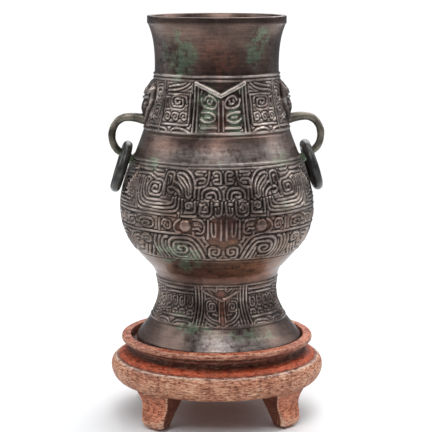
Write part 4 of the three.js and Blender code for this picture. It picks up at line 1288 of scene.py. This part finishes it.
# %% Make, dress and hand over every piece
def hand_over(piece, node, material=None):
    """Gives a piece its finish, puts it on the root body and hides the CAD node that it stands for."""
    if material is not None:
        piece.data.materials.clear()
        piece.data.materials.append(material)
    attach(piece, "root")
    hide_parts(node)


for part in (vase_neck, vase_belly, vase_foot):
    hand_over(part, "vase_body", bronze)

rod = rod_tree()
for name, side in (("left", -1), ("right", 1)):
    loop = loop_handle("loop_" + name, side, rod, loop_bronze)
    hand_over(loop, "loop_handle_" + name)
    ring = drop_ring("ring_" + name, side, rod, ring_bronze)
    hand_over(ring, "drop_ring_" + name)

drum = stand_drum(lathe_tree(), wood)
leg_points, leg_faces, leg_marks = leg_mesh()
legs = grow("stand_legs", leg_points, [], legs_tree(),
            {"Count": LEG_COUNT, "First turn": FIRST_LEG, "Material": wood}, leg_marks, leg_faces)
for part in (drum, legs):
    hand_over(facing_out(part), "wooden_stand")

# %% [markdown]
# ## Floor, light and camera
#
# The photograph was taken in soft studio light on white, from a little above the rim. The floor is a
# wide round sheet of matt white paper. Five soft lamps light it: one at each side, one in front, a
# large one above, and one over the paper behind. The world is dim as a light but white to the camera,
# so the paper has no edge. The lens is long, so the rim and the foot keep their true roundness.

# %% The floor
FLOOR_RADIUS = 0.8

turns = np.linspace(0, 2 * math.pi, 128, endpoint=False)
floor_mesh = bpy.data.meshes.new("floor")
corners = [(FLOOR_RADIUS * math.cos(turn), FLOOR_RADIUS * math.sin(turn), 0) for turn in turns]
floor_mesh.from_pydata(corners, [], [tuple(range(len(corners)))])
floor = put("floor", floor_mesh)
paper, tree, shader, place = blank_finish("matt_white_paper")
shader.inputs["Base Color"].default_value = colour("#edeff0")
shader.inputs["Roughness"].default_value = 0.9
floor_mesh.materials.append(paper)
print("floor radius in m:", FLOOR_RADIUS)

# %% The lamps and the world
LAMP_AIM = Vector((0, 0, 0.12))

world = bpy.data.worlds.new("pale_room")
world.use_nodes = True
bpy.context.scene.world = world
room = world.node_tree
seen = add(room, "ShaderNodeLightPath").outputs["Is Camera Ray"]
tint = add(room, "ShaderNodeMix", COLOURS, {0: seen, 6: colour("#f0f5ff"), 7: colour("#ffffff")})
power = add(room, "ShaderNodeMapRange", None, {0: seen, 3: 0.25, 4: 1.05})
room.links.new(tint.outputs[2], room.nodes["Background"].inputs[0])
room.links.new(power.outputs[0], room.nodes["Background"].inputs[1])


def lamp(name, place, size, watts):
    """A square soft lamp aimed at the middle of the vase."""
    light = bpy.data.lights.new(name, "AREA")
    light.shape = "SQUARE"
    light.size = size
    light.energy = watts
    holder = put(name, light)
    holder.location = place
    holder.rotation_euler = (LAMP_AIM - Vector(place)).to_track_quat("-Z", "Y").to_euler()


lamp("left_softbox", (-0.8, 0.1, 0.7), 0.6, 3.6)
lamp("right_softbox", (0.8, 0.15, 0.7), 0.6, 3.2)
lamp("front_softbox", (-0.15, -0.75, 1.0), 0.6, 5.0)
lamp("top_softbox", (0.3, 0.1, 1.36), 1.1, 11.0)
lamp("floor_softbox", (0.25, 1.3, 1.2), 1.2, 15.5)
print("lamps:", len(bpy.data.lights))

# %% The camera
CAMERA_AZIMUTH = -4.0
CAMERA_TILT = 9.44
CAMERA_DISTANCE = 900.9
AIM_HEIGHT = 116.9
AIM_LEFT = 0.47
FOCAL_PIXELS = 1540
PHOTO_PIXELS = 432
SENSOR = 36

azimuth, tilt = math.radians(CAMERA_AZIMUTH), math.radians(CAMERA_TILT)
backward = Vector((math.sin(azimuth) * math.cos(tilt), -math.cos(azimuth) * math.cos(tilt), math.sin(tilt)))
sideways = Vector((math.cos(azimuth), math.sin(azimuth), 0))
aim = Vector((0, 0, AIM_HEIGHT)) - sideways * AIM_LEFT
camera_data = bpy.data.cameras.new("photograph_view")
camera_data.sensor_width = SENSOR
camera_data.lens = SENSOR * FOCAL_PIXELS / PHOTO_PIXELS
camera_data.clip_start = 0.05
camera_data.clip_end = 100
camera = put("photograph_view", camera_data)
camera.location = (aim + backward * CAMERA_DISTANCE) * MM
camera.rotation_euler = backward.to_track_quat("Z", "Y").to_euler()
bpy.context.scene.camera = camera
bpy.context.scene.view_settings.view_transform = "Standard"
print("lens in mm:", round(camera_data.lens, 1))
